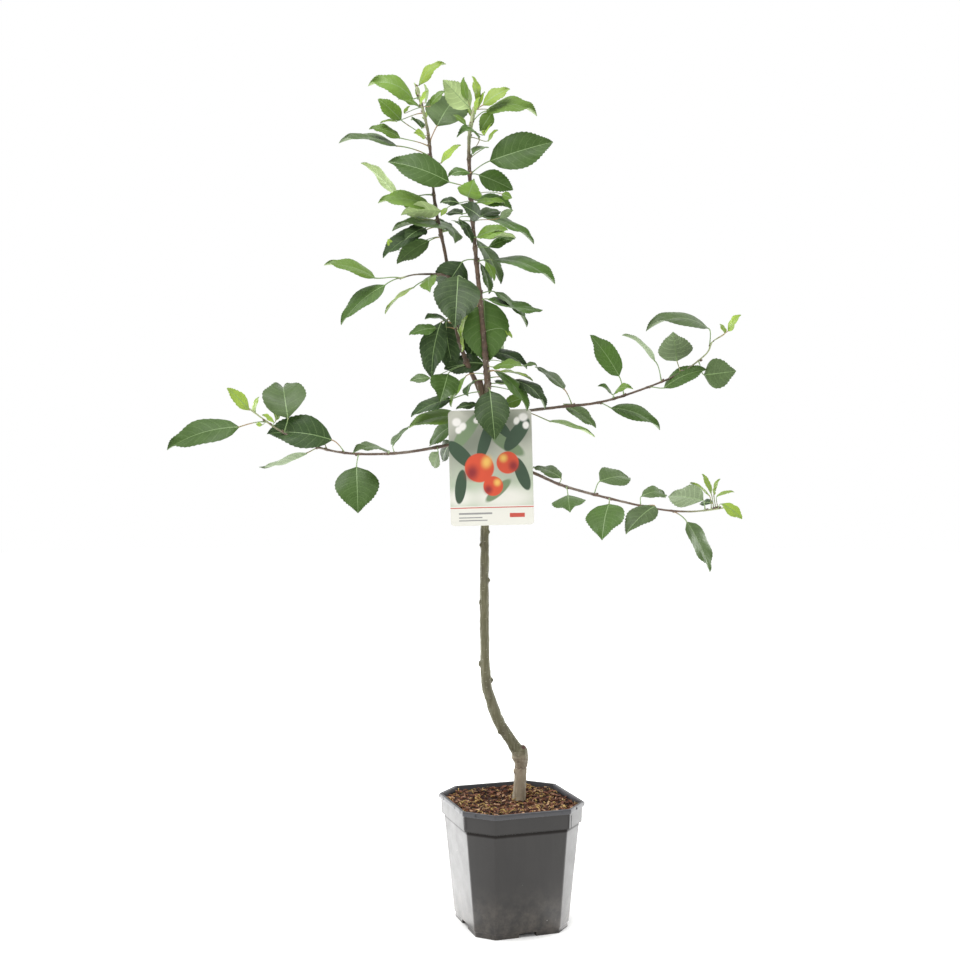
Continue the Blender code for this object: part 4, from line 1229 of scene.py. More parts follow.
def limb_object(name, roots):
    """One limb as a tube with a collar at its foot, a swelling under each leaf and a round tip."""
    limb = LIMBS[name]
    stations = smooth_route(limb.route, LIMB_SPACING)
    last = len(stations) - 1
    radii = []
    for i, station in enumerate(stations):
        radius = limb_radius(limb, i / last)
        collar = limb.foot * 0.55 * math.exp(-i * LIMB_SPACING / 0.006)
        near = min(((station - root).length for root in roots), default=1.0)
        node = radius * 0.30 * math.exp(-(near / 0.0032) ** 2)
        uneven = radius * 0.10 * noise.noise(station * 95)
        radii.append(radius + collar + node + uneven)
    end = (stations[-1] - stations[-2]).normalized()
    for step in (0.7, 1.0):
        stations.append(stations[last] + end * limb.tip * step * 1.2)
        radii.append(limb.tip * math.sqrt(1.05 - step * step))
    rings = tube_rings(stations, radii, LIMB_SIDES)
    for ring, centre, radius in zip(rings, stations, radii):
        for i, point in enumerate(ring):
            ring[i] = point + (point - centre) * 0.16 * noise.noise(point * 240)
    shape = bmesh.new()
    loft(shape, rings)
    thing = object_from(f"{name}_wood", shape)
    fresh = [min(1.0, i / last) for i in range(len(stations)) for _ in range(LIMB_SIDES)]
    thing.data.attributes.new("fresh", "FLOAT", "POINT").data.foreach_set("value", fresh)
    return thing


class BuildLimbs(bpy.types.Operator):
    """Make the leaders, boughs and shoots, swollen where leaves grow on them"""

    bl_idname = "potted_tree.limbs"
    bl_label = "Limbs"

    def execute(self, context):
        settings = context.scene.potted_tree.wood
        bark = young_bark(settings)
        crown = plan_crown(context.scene.potted_tree.leaf)
        for name in LIMBS:
            limb = limb_object(name, [blade.root for blade in crown[name]])
            paint(limb, bark, smooth_angle=50)
            as_piece(limb, "young_bark", name)
        return {"FINISHED"}


def card_outline(inset):
    """A rectangle with round corners and points along its sides, as (across, up) pairs."""
    radius = max(CARD_CORNER - inset, 0.0005)
    half_width = CARD_WIDTH / 2 - inset
    half_height = CARD_HEIGHT / 2 - inset
    corners = []
    for quarter in range(4):
        cx = (half_width - radius) * (1 if quarter in (0, 3) else -1)
        cz = (half_height - radius) * (1 if quarter in (0, 1) else -1)
        turns = [(quarter + step / CARD_ARC) * math.pi / 2 for step in range(CARD_ARC + 1)]
        corners.append([(cx + radius * math.cos(a), cz + radius * math.sin(a)) for a in turns])
    points = []
    for i, corner in enumerate(corners):
        after = corners[(i + 1) % 4][0]
        points += corner
        for step in range(1, CARD_SIDE_STEPS):
            part = step / CARD_SIDE_STEPS
            points.append(tuple(a + (b - a) * part for a, b in zip(corner[-1], after)))
    return points


def card_object(settings):
    """The card: slightly bowed, with round corners, and a map over its front and back."""
    place = Matrix.Translation(CARD_CENTRE) @ Matrix.Rotation(CARD_TILT, 4, "Y")
    half = CARD_THICKNESS / 2
    rings = []
    flat = []
    for side, insets in ((1, reversed(CARD_RINGS)), (-1, CARD_RINGS)):
        for inset in insets:
            outline = card_outline(inset)
            flat += [(x / CARD_WIDTH + 0.5, z / CARD_HEIGHT + 0.5, side) for x, z in outline]
            ring = []
            for x, z in outline:
                bow = settings.bow * (2 * x / CARD_WIDTH) ** 2
                low = smoothstep(0.5, 1.0, -2 * z / CARD_HEIGHT)
                curl = CARD_CURL * low * smoothstep(0.0, 1.0, x / CARD_WIDTH * 2)
                ring.append(place @ Vector((x, side * half - bow - curl, z)))
            rings.append(ring)
    card = lofted("hanging_card", rings)
    mesh = card.data
    print_map = mesh.uv_layers.new(name="card")
    for loop in mesh.loops:
        across, up, side = flat[loop.vertex_index]
        print_map.data[loop.index].uv = (across, up)
    for face in mesh.polygons:
        sides = [flat[i][2] for i in face.vertices]
        face.material_index = 0 if max(sides) < 0 else 1
    return card


class BuildCard(bpy.types.Operator):
    """Make the hanging card with its plain generic print"""

    bl_idname = "potted_tree.card"
    bl_label = "Card"

    def execute(self, context):
        settings = context.scene.potted_tree.card
        card = card_object(settings)
        paint(card, card_print(settings), card_back(settings), smooth_angle=40)
        as_piece(card, "label_card", "label")
        return {"FINISHED"}


def strap_outlines():
    """Level outlines of the strap with its tail, and of the space inside it."""
    trunk = Vector(TRUNK_ROUTE[-1])
    inner = trunk_radius(STRAP_CENTRE) + STRAP_CLEARANCE
    outer = inner + STRAP_THICKNESS
    front = CARD_CENTRE.y + CARD_THICKNESS / 2 + STRAP_CLEARANCE / 2
    near = front + STRAP_THICKNESS
    turns = [math.pi * i / STRAP_ARC for i in range(STRAP_ARC + 1)]
    back, hole = ([(trunk.x + radius * math.cos(a), trunk.y + radius * math.sin(a)) for a in turns]
                  for radius in (outer, inner))
    tail = [(trunk.x + STRAP_TAIL, front), (trunk.x + STRAP_TAIL, near), (trunk.x + outer, near)]
    return [*tail, *back, (trunk.x - outer, front)], [(trunk.x + inner, near), *hole, (trunk.x - inner, near)]


class BuildStrap(bpy.types.Operator):
    """Make the strap: a band round the trunk that closes behind the card, with a tail"""

    bl_idname = "potted_tree.strap"
    bl_label = "Strap"

    def execute(self, context):
        solids = []
        for outline, reach in zip(strap_outlines(), (STRAP_HEIGHT / 2, STRAP_HEIGHT * 0.8)):
            rings = [[(x, y, STRAP_CENTRE + z) for x, y in outline] for z in (-reach, reach)]
            solids.append(lofted("strap_band", rings))
        band, space = solids
        join_with(band, space, "DIFFERENCE")
        bevel = band.modifiers.new("edges", "BEVEL")
        bevel.width = STRAP_EDGE
        bevel.segments = 2
        bevel.limit_method = "ANGLE"
        settle(band)
        paint(band, strap_plastic(context.scene.potted_tree.card), smooth_angle=35)
        as_piece(band, "strap_plastic", "label_strap")
        return {"FINISHED"}


class Leaf(NamedTuple):
    """One leaf as the photograph shows it: where its blade starts and ends, and how wide it looks.

    foot, tip, width and root are in pixels, and size is the blade's real length in metres where it leans
    towards the camera (lean -1) or away from it (lean 1). root is where its stalk leaves the limb, if
    that isn't the nearest point.
    """

    foot: tuple
    tip: tuple
    width: float
    tone: str = "mature"
    size: float = 0.0
    lean: int = 0
    bend: float = 0.08
    broad: float = 0.58
    fold: float = 0.20
    turned: bool = False
    root: tuple = None


# The leaves that the photograph shows, limb by limb, each from foot to tip
SHOWN = {
    "left_bough": (
        Leaf((239, 427), (167, 450), 24, bend=0.10, broad=0.5, root=(265, 426)),
        Leaf((249, 410), (227, 388), 12, "young", 0.05, -1, 0.05, 0.45),
        Leaf((255, 412), (259, 397), 4, "young", 0.03, 1, 0.10),
        Leaf((274, 422), (262, 415), 5, "young", 0.025, -1),
        Leaf((276, 420), (275, 408), 6, "young", 0.025, 1),
        Leaf((262, 425), (256, 424), 4, "young"),
        Leaf((288, 418), (283, 387), 43, "grey", 0.08, 1, 0.18, 0.8, 0.35, root=(285, 433)),
        Leaf((332, 440), (267, 434), 32, "dark", fold=0.5, bend=0.12, root=(344, 452)),
        Leaf((307, 453), (259, 467), 6, bend=-0.06, turned=True, root=(318, 450)),
        Leaf((356.5, 467), (358, 513), 43, "mature", 0.078, -1, 0.08, 0.82, root=(359, 457)),
        Leaf((388, 451), (353, 453), 8, "grey", 0.065, -1, 0.14),
        Leaf((393, 445), (409, 427), 5, "mature", 0.055, 1, 0.05),
        Leaf((462, 417), (409, 428), 15, "bright", bend=0.10, root=(468, 440)),
        Leaf((456, 424), (430, 446), 14, "mature", 0.065, 1, root=(466, 441)),
        Leaf((438, 452), (434, 467), 12, "mature", 0.04, -1, turned=True),
        Leaf((452, 441), (443, 461), 12, "dark", 0.05, 1),
    ),
    "right_upper_bough": (
        Leaf((564, 389), (535, 367), 8, "grey", 0.07, 1, 0.05, root=(571, 402)),
        Leaf((564, 404), (596, 428), 12, "grey", bend=0.05),
        Leaf((549, 421), (595, 437), 4.5, "bright", bend=0.06, root=(520, 412)),
        Leaf((619, 376), (590, 335), 22, bend=0.05, root=(623, 393)),
        Leaf((612, 394), (598, 386), 5, "mature", 0.03, bend=0.15),
        Leaf((614, 394), (633, 389), 7, "bright", 0.035, -1, 0.25),
        Leaf((611, 408), (660, 430), 15, bend=0.12, root=(598, 402)),
        Leaf((655, 361), (622, 335), 5, "grey", bend=0.12, turned=True, root=(661, 380)),
        Leaf((708, 328), (646, 331), 14, "grey", bend=0.20, root=(716, 349)),
        Leaf((677, 361), (673, 332), 34, "grey", 0.055, 1, 0.05, 0.85, turned=True, root=(680, 372)),
        Leaf((664, 388), (707, 370), 16, bend=0.10, root=(648, 390)),
        Leaf((704, 375), (736, 371), 29, "grey", 0.06, -1, 0.05, broad=0.75, root=(700, 363)),
        Leaf((725, 333), (720, 324), 4, "young", 0.02, 1),
        Leaf((728, 331), (741, 315), 8, "young", 0.04, -1),
    ),
    "right_lower_bough": (
        Leaf((561, 478), (533, 468), 10, "grey", 0.06, 1),
        Leaf((568, 495), (570, 512), 33, "mature", 0.065, -1, 0.10, fold=-0.35, root=(566, 487)),
        Leaf((600, 481), (629, 478), 20, "grey", 0.06, 1, broad=0.75, root=(594, 492)),
        Leaf((609, 504), (602, 540), 36, "mature", 0.075, -1, broad=0.78),
        Leaf((655, 506), (626, 534), 22, "grey", 0.07, -1, root=(645, 505)),
        Leaf((642, 496), (665, 498), 10, "grey", 0.045, 1, 0.20),
        Leaf((703, 500), (669, 496), 22, "grey", 0.065, -1, 0.05, broad=0.6, turned=True),
        Leaf((687, 522), (710, 572), 17, "grey", bend=0.05, root=(672, 509)),
        Leaf((711, 493), (702, 474), 5, "young", 0.035, 1, broad=0.3),
        Leaf((709, 495), (690, 483), 3, "young", 0.036, -1, broad=0.3),
        Leaf((714, 492), (720, 479), 4, "young", 0.028, -1, broad=0.35),
        Leaf((717, 496), (734, 492), 3, "young", 0.030, 1, broad=0.3),
        Leaf((714, 494), (716, 488), 4, "young", 0.020, -1, broad=0.4),
        Leaf((712, 503), (700, 504), 6, "dark", 0.03, 1),
        Leaf((722, 504), (742, 519), 11, "young", root=(716, 503)),
    ),
    "left_leader": (
        Leaf((419, 85), (446, 64), 9, "young", bend=0.17, broad=0.5),
        Leaf((413, 99), (368, 86), 16, "bright", bend=0.23),
        Leaf((401, 120), (378, 99), 15, "bright", bend=0.05, root=(428, 142)),
        Leaf((404, 113), (410, 106), 3, "young"),
        Leaf((420, 107), (398, 99), 5, "bright", root=(421, 107)),
        Leaf((426, 102), (424, 84), 4, "young", turned=True),
        Leaf((418, 99), (414, 83), 4, "young", 0.028, 1),
        Leaf((420, 104), (428, 91), 4, "young", 0.026, -1),
        Leaf((425, 120), (432, 108), 4, "young", 0.028, 1),
        Leaf((400, 138), (369, 129), 9, "bright", bend=0.12, root=(428, 147)),
        Leaf((397, 121), (380, 123), 2, "young"),
        Leaf((397, 146), (339, 143), 7, "grey", bend=0.12, root=(430, 158)),
        Leaf((422, 128), (411, 120), 3, "mature", 0.035, 1, 0.15),
        Leaf((425, 136), (414, 133), 8, "young", 0.03, -1),
        Leaf((437, 126), (458, 97), 38, "grey", 0.08, 1, broad=0.75, root=(431, 142)),
        Leaf((430, 106), (445, 91), 7, "bright"),
        Leaf((397, 196), (361, 163), 10, "bright", broad=0.4, turned=True, root=(433, 195)),
        Leaf((430, 206), (378, 203), 15, "bright", bend=0.12),
        Leaf((441, 163), (461, 145), 6, "young"),
        Leaf((441, 211), (401, 215), 15, "bright", turned=True),
        Leaf((416, 218), (397, 200), 4, "bright", root=(438, 222)),
        Leaf((458, 232), (392, 231), 9, "grey", bend=0.14, root=(439, 232)),
        Leaf((451, 230), (428, 222), 8, "dark", 0.05, 1),
        Leaf((425, 228), (405, 240), 14, "dark", 0.05, -1),
        Leaf((426, 230), (383, 258), 15, "dark", fold=0.4),
        Leaf((392, 247), (388, 239), 6, "young", root=(430, 240)),
        Leaf((429, 241), (397, 264), 17, "grey"),
        Leaf((451, 228), (455, 243), 13, "grey", 0.045, -1),
        Leaf((430, 276), (430, 292), 17, "bright", 0.05, -1, root=(449, 276)),
        Leaf((414, 287), (385, 314), 3, "young", root=(436, 277)),
        Leaf((447, 320), (425, 319), 7, "dark", 0.05, -1),
        Leaf((437, 328), (409, 335), 11, root=(456, 330)),
        Leaf((441, 322), (432, 378), 26, "dark", fold=0.3, root=(457, 325)),
        Leaf((450, 325), (448, 368), 18, "dark", 0.075, 1),
        Leaf((430, 378), (410, 381), 9, "grey", root=(466, 366)),
        Leaf((458, 330), (462, 352), 3, "young"),
        Leaf((484, 364), (444, 369), 19, "dark", 0.065, 1, root=(467, 362)),
        Leaf((446, 321), (455, 372), 26, "dark", 0.08, 1, root=(455, 318)),
        Leaf((448, 374), (440, 402), 30, "mature", 0.065, -1, root=(466, 366)),
    ),
    "right_leader": (
        Leaf((449, 182), (388, 162), 28, bend=0.08, root=(470, 190)),
        Leaf((470, 108), (443, 80), 24, "bright", broad=0.62, turned=True, root=(472, 118)),
        Leaf((468, 100), (464, 77), 7, "bright", root=(472, 115)),
        Leaf((477, 106), (472, 76), 7, "young"),
        Leaf((478, 108), (485, 92), 5, "young", 0.032, 1),
        Leaf((475, 114), (480, 97), 4, "young", 0.030, -1),
        Leaf((472, 118), (466, 106), 4, "young", 0.026, 1),
        Leaf((484, 135), (494, 119), 5, "young", 0.034, 1, root=(472, 132)),
        Leaf((488, 141), (498, 130), 4, "young", 0.028, -1, root=(472, 138)),
        Leaf((492, 112), (480, 131), 14, "bright", root=(474, 110)),
        Leaf((483, 105), (510, 89), 12, "young", root=(475, 112)),
        Leaf((486, 111), (537, 116), 14, "bright", bend=0.20, root=(473, 124)),
        Leaf((490, 161), (553, 142), 34, bend=0.04, root=(473, 176)),
        Leaf((479, 138), (457, 137), 7, "mature", 0.045, -1, 0.3, root=(473, 160)),
        Leaf((486, 147), (473, 154), 7, "grey", 0.04, -1, root=(473, 160)),
        Leaf((466, 125), (453, 115), 5, "bright"),
        Leaf((468, 197), (474, 179), 24, "bright", 0.06, -1),
        Leaf((470, 173), (448, 177), 8, bend=0.20),
        Leaf((479, 175), (513, 190), 20),
        Leaf((502, 194), (512, 198), 8, "bright", root=(476, 196)),
        Leaf((475, 200), (512, 210), 12, bend=0.15),
        Leaf((476, 203), (505, 203), 6, "bright"),
        Leaf((480, 217), (461, 205), 16, "dark", 0.05, -1),
        Leaf((480, 217), (500, 212), 9, "grey", 0.05, 1),
        Leaf((500, 218), (513, 210), 8, "dark", turned=True, root=(478, 222)),
        Leaf((484, 217), (534, 244), 9, bend=0.10),
        Leaf((477, 237), (508, 230), 12, "bright", bend=0.10),
        Leaf((480, 238), (516, 238), 6, "bright", turned=True),
        Leaf((489, 247), (515, 239), 10),
        Leaf((459, 203), (440, 203), 8, "dark", bend=0.15),
        Leaf((462, 214), (447, 214), 6, "dark", 0.04, 1),
        Leaf((456, 222), (462, 229), 8, "dark", 0.04, -1),
        Leaf((459, 219), (472, 243), 8, "dark"),
        Leaf((447, 208), (441, 216), 5, "young", root=(462, 206)),
        Leaf((462, 262), (443, 291), 34, "dark", 0.08, 1),
        Leaf((493, 260), (555, 284), 12, bend=0.13),
        Leaf((477, 240), (501, 284), 13, "grey", bend=0.06),
        Leaf((486, 262), (494, 281), 8, "bright"),
        Leaf((481, 264), (489, 294), 9),
        Leaf((495, 292), (527, 327), 8, bend=0.10, root=(480, 294)),
        Leaf((488, 299), (543, 310), 9, bend=-0.05),
        Leaf((484, 300), (487, 364), 47, "mature", 0.09, 1, root=(482, 303)),
        Leaf((505, 330), (512, 338), 4, "young", root=(484, 332)),
        Leaf((470, 308), (462, 338), 4, "young"),
        Leaf((452, 399), (411, 417), 13, "dark", root=(476, 392)),
        Leaf((465, 377), (451, 407), 7, "bright"),
        Leaf((488, 353), (527, 369), 12, "dark", bend=0.15),
        Leaf((493, 367), (522, 366), 9, "bright", 0.05, -1, 0.06),
        Leaf((500, 371), (533, 381), 2, "young"),
        Leaf((524, 366), (537, 366), 4, "grey", bend=0.20, root=(488, 360)),
        Leaf((512, 380), (545, 409), 13, "dark", bend=0.18, root=(488, 378)),
        Leaf((495, 371), (527, 411), 12, bend=0.12),
        Leaf((508, 384), (500, 382), 8, "dark", 0.05, 1),
        Leaf((522, 398), (503, 405), 13, "bright", root=(490, 386)),
        Leaf((490, 391), (495, 440), 34, "core", 0.08, -1, root=(487, 389)),
        Leaf((505, 431), (476, 448), 9, "dark", 0.05, -1, root=(488, 388)),
        Leaf((479, 405), (456, 409), 7, "dark", root=(487, 396)),
        Leaf((472, 382), (468, 396), 8, "dark", 0.04, -1),
    ),
    "left_spur": (
        Leaf((375, 278), (324, 265), 12, "bright", bend=0.10),
        Leaf((385, 285), (341, 325), 17, root=(402, 278)),
    ),
    "front_shoot": (
        Leaf((458, 276), (455, 328), 45, "core", 0.09, -1, root=(464, 280)),
    ),
    "back_shoot": (),
}
# Leaf tones: grey stands for the sky's reflection, dark is partly and the tone for front leaves wholly
# painted shade, and bright and young are partly painted light shining through.
TONES = ("mature", "grey", "dark", "core", "bright", "young")

LEAF_ROWS = (8, 18)
ROW_SPACING = 0.0042
LEAF_COLUMNS = ((-1, 1.0), (-1, 0.68), (-1, 0.34), (-1, 0.0), (1, 0.0), (1, 0.34), (1, 0.68), (1, 1.0))
VEIN_RISE = 0.24
RIB_HALF = (0.0007, 0.0003)
UNDER_RIB = (0.0012, 0.0003)
STALK_LENGTH = 0.022
STALK_RADII = (0.0014, 0.0009, 0.0008, 0.0009, 0.0010)
STALK_STEPS = 9
STALK_SIDES = 6
WAVES = 2.5
WAVE_HEIGHT = 0.0022
WAVE_WIDTH = 0.012
FULL_TEETH = 0.05
END_SHIFT = 0.02
GOLDEN_ANGLE = math.radians(137.5)
NODE_SPACING = 0.013
GROW_TRIES = 16
TRY_TURN = 0.9
GROWN_LENGTHS = (0.040, 0.080)
LEAF_CLEARANCE = 0.012
RIM_STEPS = 6
BUD_PROFILE = ((0.0, 0.20), (0.2, 0.36), (0.45, 0.38), (0.7, 0.26), (0.9, 0.11), (1.0, 0.03))
BUD_SIDES = 7
BUD_SIZES = (0.65, 1.25)
BUD_LENGTH = 0.0042
BUD_OFFSET = 0.0018
BUD_SEED = 5
# How far up a limb its first grown leaf stands, in shares of its length
GROW_FROM = {"left_leader": 0.12, "right_leader": 0.12, "left_spur": 0.3}
GROW_FROM_OTHERS = 0.2


class Blade(NamedTuple):
    """One leaf in space: its stalk's root and direction, its frame, sizes and bends."""

    root: Vector
    out: Vector
    foot: Vector
    across: Vector
    along: Vector
    normal: Vector
    length: float
    width: float
    tone: str
    bend: float
    fold: float
    twist: float
    wave: float
    seed: int

    def at(self, x, y, z):
        """A point of the blade's own frame, in metres, in space."""
        return self.foot + self.across * x + self.along * y + self.normal * z

    def middle(self):
        """The middle of the blade."""
        return self.at(0.0, self.length / 2, 0.0)


def nearest_station(stations, pixel):
    """The number of the station that the photograph shows nearest to a pixel."""
    spot = Vector(pixel)
    return min(range(len(stations)), key=lambda i: (to_photo(stations[i]) - spot).length)


def framed(along, normal):
    """The two directions across a blade, square to its length."""
    normal = (normal - along * normal.dot(along)).normalized()
    return along.cross(normal).normalized(), normal


def shown_blade(leaf, stations, draw, seed):
    """A leaf of the photograph in space, on the limb with these stations."""
    k = nearest_station(stations, leaf.root or leaf.foot)
    root = stations[k]
    scale = (root - CAMERA_PLACE).length / PIXELS_PER_SLOPE
    seen_stalk = (Vector(leaf.foot) - to_photo(root)).length * scale
    spare = math.sqrt(max(0.0, (STALK_LENGTH * draw.uniform(0.7, 1.2)) ** 2 - seen_stalk ** 2))
    side = leaf.lean or draw.choice((-1, 1))
    foot = from_photo(leaf.foot, root.y + side * spare)
    seen = (from_photo(leaf.tip, foot.y) - foot).length
    length = max(leaf.size, seen * 1.02)
    away = math.sqrt(max(0.0, (0.97 * length) ** 2 - seen ** 2))
    tip = from_photo(leaf.tip, foot.y + (leaf.lean or side) * away)
    along = (tip - foot).normalized()
    length = (tip - foot).length
    seen_width = leaf.width * scale
    width = max(seen_width, leaf.broad * length)
    to_camera = (CAMERA_PLACE - foot).normalized()
    across, normal = framed(along, to_camera)
    roll = math.acos(min(1.0, seen_width / width))
    upright = Vector((0.0, 0.0, 1.0)) if abs(along.z) < 0.93 else (foot - root).normalized()
    if leaf.turned:
        across, normal = -across, -normal
    if across.dot(upright) < 0:
        roll = -roll
    turn = Matrix.Rotation(roll, 3, along)
    across, normal = framed(along, turn @ normal)
    out = (foot - root).normalized()
    return Blade(root, out, foot, across, along, normal, length, width, leaf.tone, leaf.bend, leaf.fold,
                 draw.uniform(-0.25, 0.25), draw.uniform(0.4, 1.0), seed)


def blade_form(blade, part, side, share):
    """A point of a blade's smooth form in its own frame, before its twist, and the half width there."""
    y = blade.length * (part + VEIN_RISE * math.sin(math.pi * part) * share ** 1.35)
    rib = RIB_HALF[0] + (RIB_HALF[1] - RIB_HALF[0]) * part
    half = max(blade.width / 2 * outline_share(y / blade.length), rib + 0.0004)
    across = rib + (half - rib) * share
    z = 4 * blade.bend * blade.length * part * (1 - part)
    z += across * math.tan(blade.fold) * (1 - 0.45 * share)
    return Vector((side * across, y, z)), half


def twisted(blade, x, y, z):
    """The place in space of a point of the blade's frame, with the blade's twist."""
    turn = blade.twist * (y / blade.length - 0.4)
    return blade.at(x * math.cos(turn) - z * math.sin(turn) * 0.3, y, z + x * math.sin(turn))


def rim_of(blade):
    """Points in space along a blade's margin, from its foot to its tip and back."""
    parts = [i / RIM_STEPS for i in range(RIM_STEPS + 1)]
    order = [(1, part) for part in parts] + [(-1, part) for part in reversed(parts)]
    return [twisted(blade, *blade_form(blade, part, side, 1.0)[0]) for side, part in order]


def cover_of(corners, depth):
    """What a flat thing with these corners hides from the camera: its outline, box and depth."""
    outline = [to_photo(corner) for corner in corners]
    across = [spot.x for spot in outline]
    down = [spot.y for spot in outline]
    return outline, (min(across), max(across), min(down), max(down)), depth


def hidden(point, covers):
    """Whether something nearer to the camera hides a point."""
    spot = to_photo(point)
    for outline, (left, right, top, bottom), depth in covers:
        if point.y > depth and left < spot.x < right and top < spot.y < bottom and inside(spot, outline):
            return True
    return False


def inside(spot, outline):
    """Whether a pixel lies inside a closed line of pixels."""
    crossings = 0
    for (x0, y0), (x1, y1) in zip(outline, outline[1:] + outline[:1]):
        if (y0 > spot.y) != (y1 > spot.y) and spot.x < x0 + (spot.y - y0) * (x1 - x0) / (y1 - y0):
            crossings += 1
    return crossings % 2 == 1


def grown_blades(name, stations, covers, taken, settings, draw):
    """Leaves that the rule grows on one limb: a golden angle from node to node, behind what shows."""
    made = []
    turn = draw.uniform(0.0, 2 * math.pi)
    step = max(1, round(NODE_SPACING / LIMB_SPACING))
    start = int(GROW_FROM.get(name, GROW_FROM_OTHERS) * len(stations))
    for k in range(start, len(stations) - 1, step):
        turn += GOLDEN_ANGLE
        for attempt in range(GROW_TRIES):
            if len(made) >= settings.hidden:
                return made
            seed = settings.seed * 1000 + k * 8 + attempt
            blade = grown_blade(stations, k, turn + attempt * TRY_TURN, draw, seed)
            clear = all((blade.middle() - other).length > LEAF_CLEARANCE for other in taken)
            stalk = blade.root.lerp(blade.foot, 0.6)
            if clear and all(hidden(point, covers) for point in (stalk, *rim_of(blade))):
                made.append(blade)
                taken.append(blade.middle())
                break
    return made


def grown_blade(stations, k, turn, draw, seed):
    """One leaf that the rule puts on a limb's station: out from the limb and arching over."""
    root = stations[k]
    axis = (stations[k + 1] - stations[k - 1]).normalized()
    side = axis.orthogonal().normalized()
    radial = Matrix.Rotation(turn, 3, axis) @ side
    rise = draw.uniform(0.25, 0.75)
    out = (radial + axis * rise).normalized()
    foot = root + out * STALK_LENGTH * draw.uniform(0.8, 1.3)
    along = (out + Vector((0.0, 0.0, draw.uniform(-0.75, 0.05)))).normalized()
    length = draw.uniform(*GROWN_LENGTHS)
    up = Vector((0.0, 0.0, 1.0)) - axis * 0.3 + radial * 0.3
    across, normal = framed(along, Matrix.Rotation(draw.uniform(-0.5, 0.5), 3, along) @ up)
    tone = draw.choice(("mature", "mature", "dark", "bright"))
    return Blade(root, out, foot, across, along, normal, length, length * draw.uniform(0.52, 0.66), tone,
                 draw.uniform(0.04, 0.14), draw.uniform(0.1, 0.4), draw.uniform(-0.3, 0.3),
                 draw.uniform(0.4, 1.0), seed)


def plan_crown(settings):
    """All leaves of the tree, limb by limb: those of the photograph, and those that the rule grows."""
    draw = random.Random(settings.seed)
    tracks = {name: smooth_route(limb.route, LIMB_SPACING) for name, limb in LIMBS.items()}
    crown = {}
    for name, leaves in SHOWN.items():
        crown[name] = [shown_blade(leaf, tracks[name], draw, i) for i, leaf in enumerate(leaves)]
    covers = [cover_of(rim_of(blade), blade.middle().y) for blades in crown.values() for blade in blades]
    half = Vector((CARD_WIDTH / 2, 0.0, CARD_HEIGHT / 2))
    corners = [CARD_CENTRE + half * Vector((x, 0.0, z)) for x, z in ((-1, -1), (1, -1), (1, 1), (-1, 1))]
    covers.append(cover_of(corners, CARD_CENTRE.y))
    taken = [blade.middle() for blades in crown.values() for blade in blades]
    for name in LIMBS:
        crown[name] += grown_blades(name, tracks[name], covers, taken, settings, draw)
    return crown


def outline_share(part):
    """A blade's half width along its length, as a share of the widest: round foot, drawn-out tip."""
    part = min(1.0, max(0.0, part))
    return math.sin(math.pi * part ** 0.85) ** 0.72 * (1 - 0.55 * part ** 6)


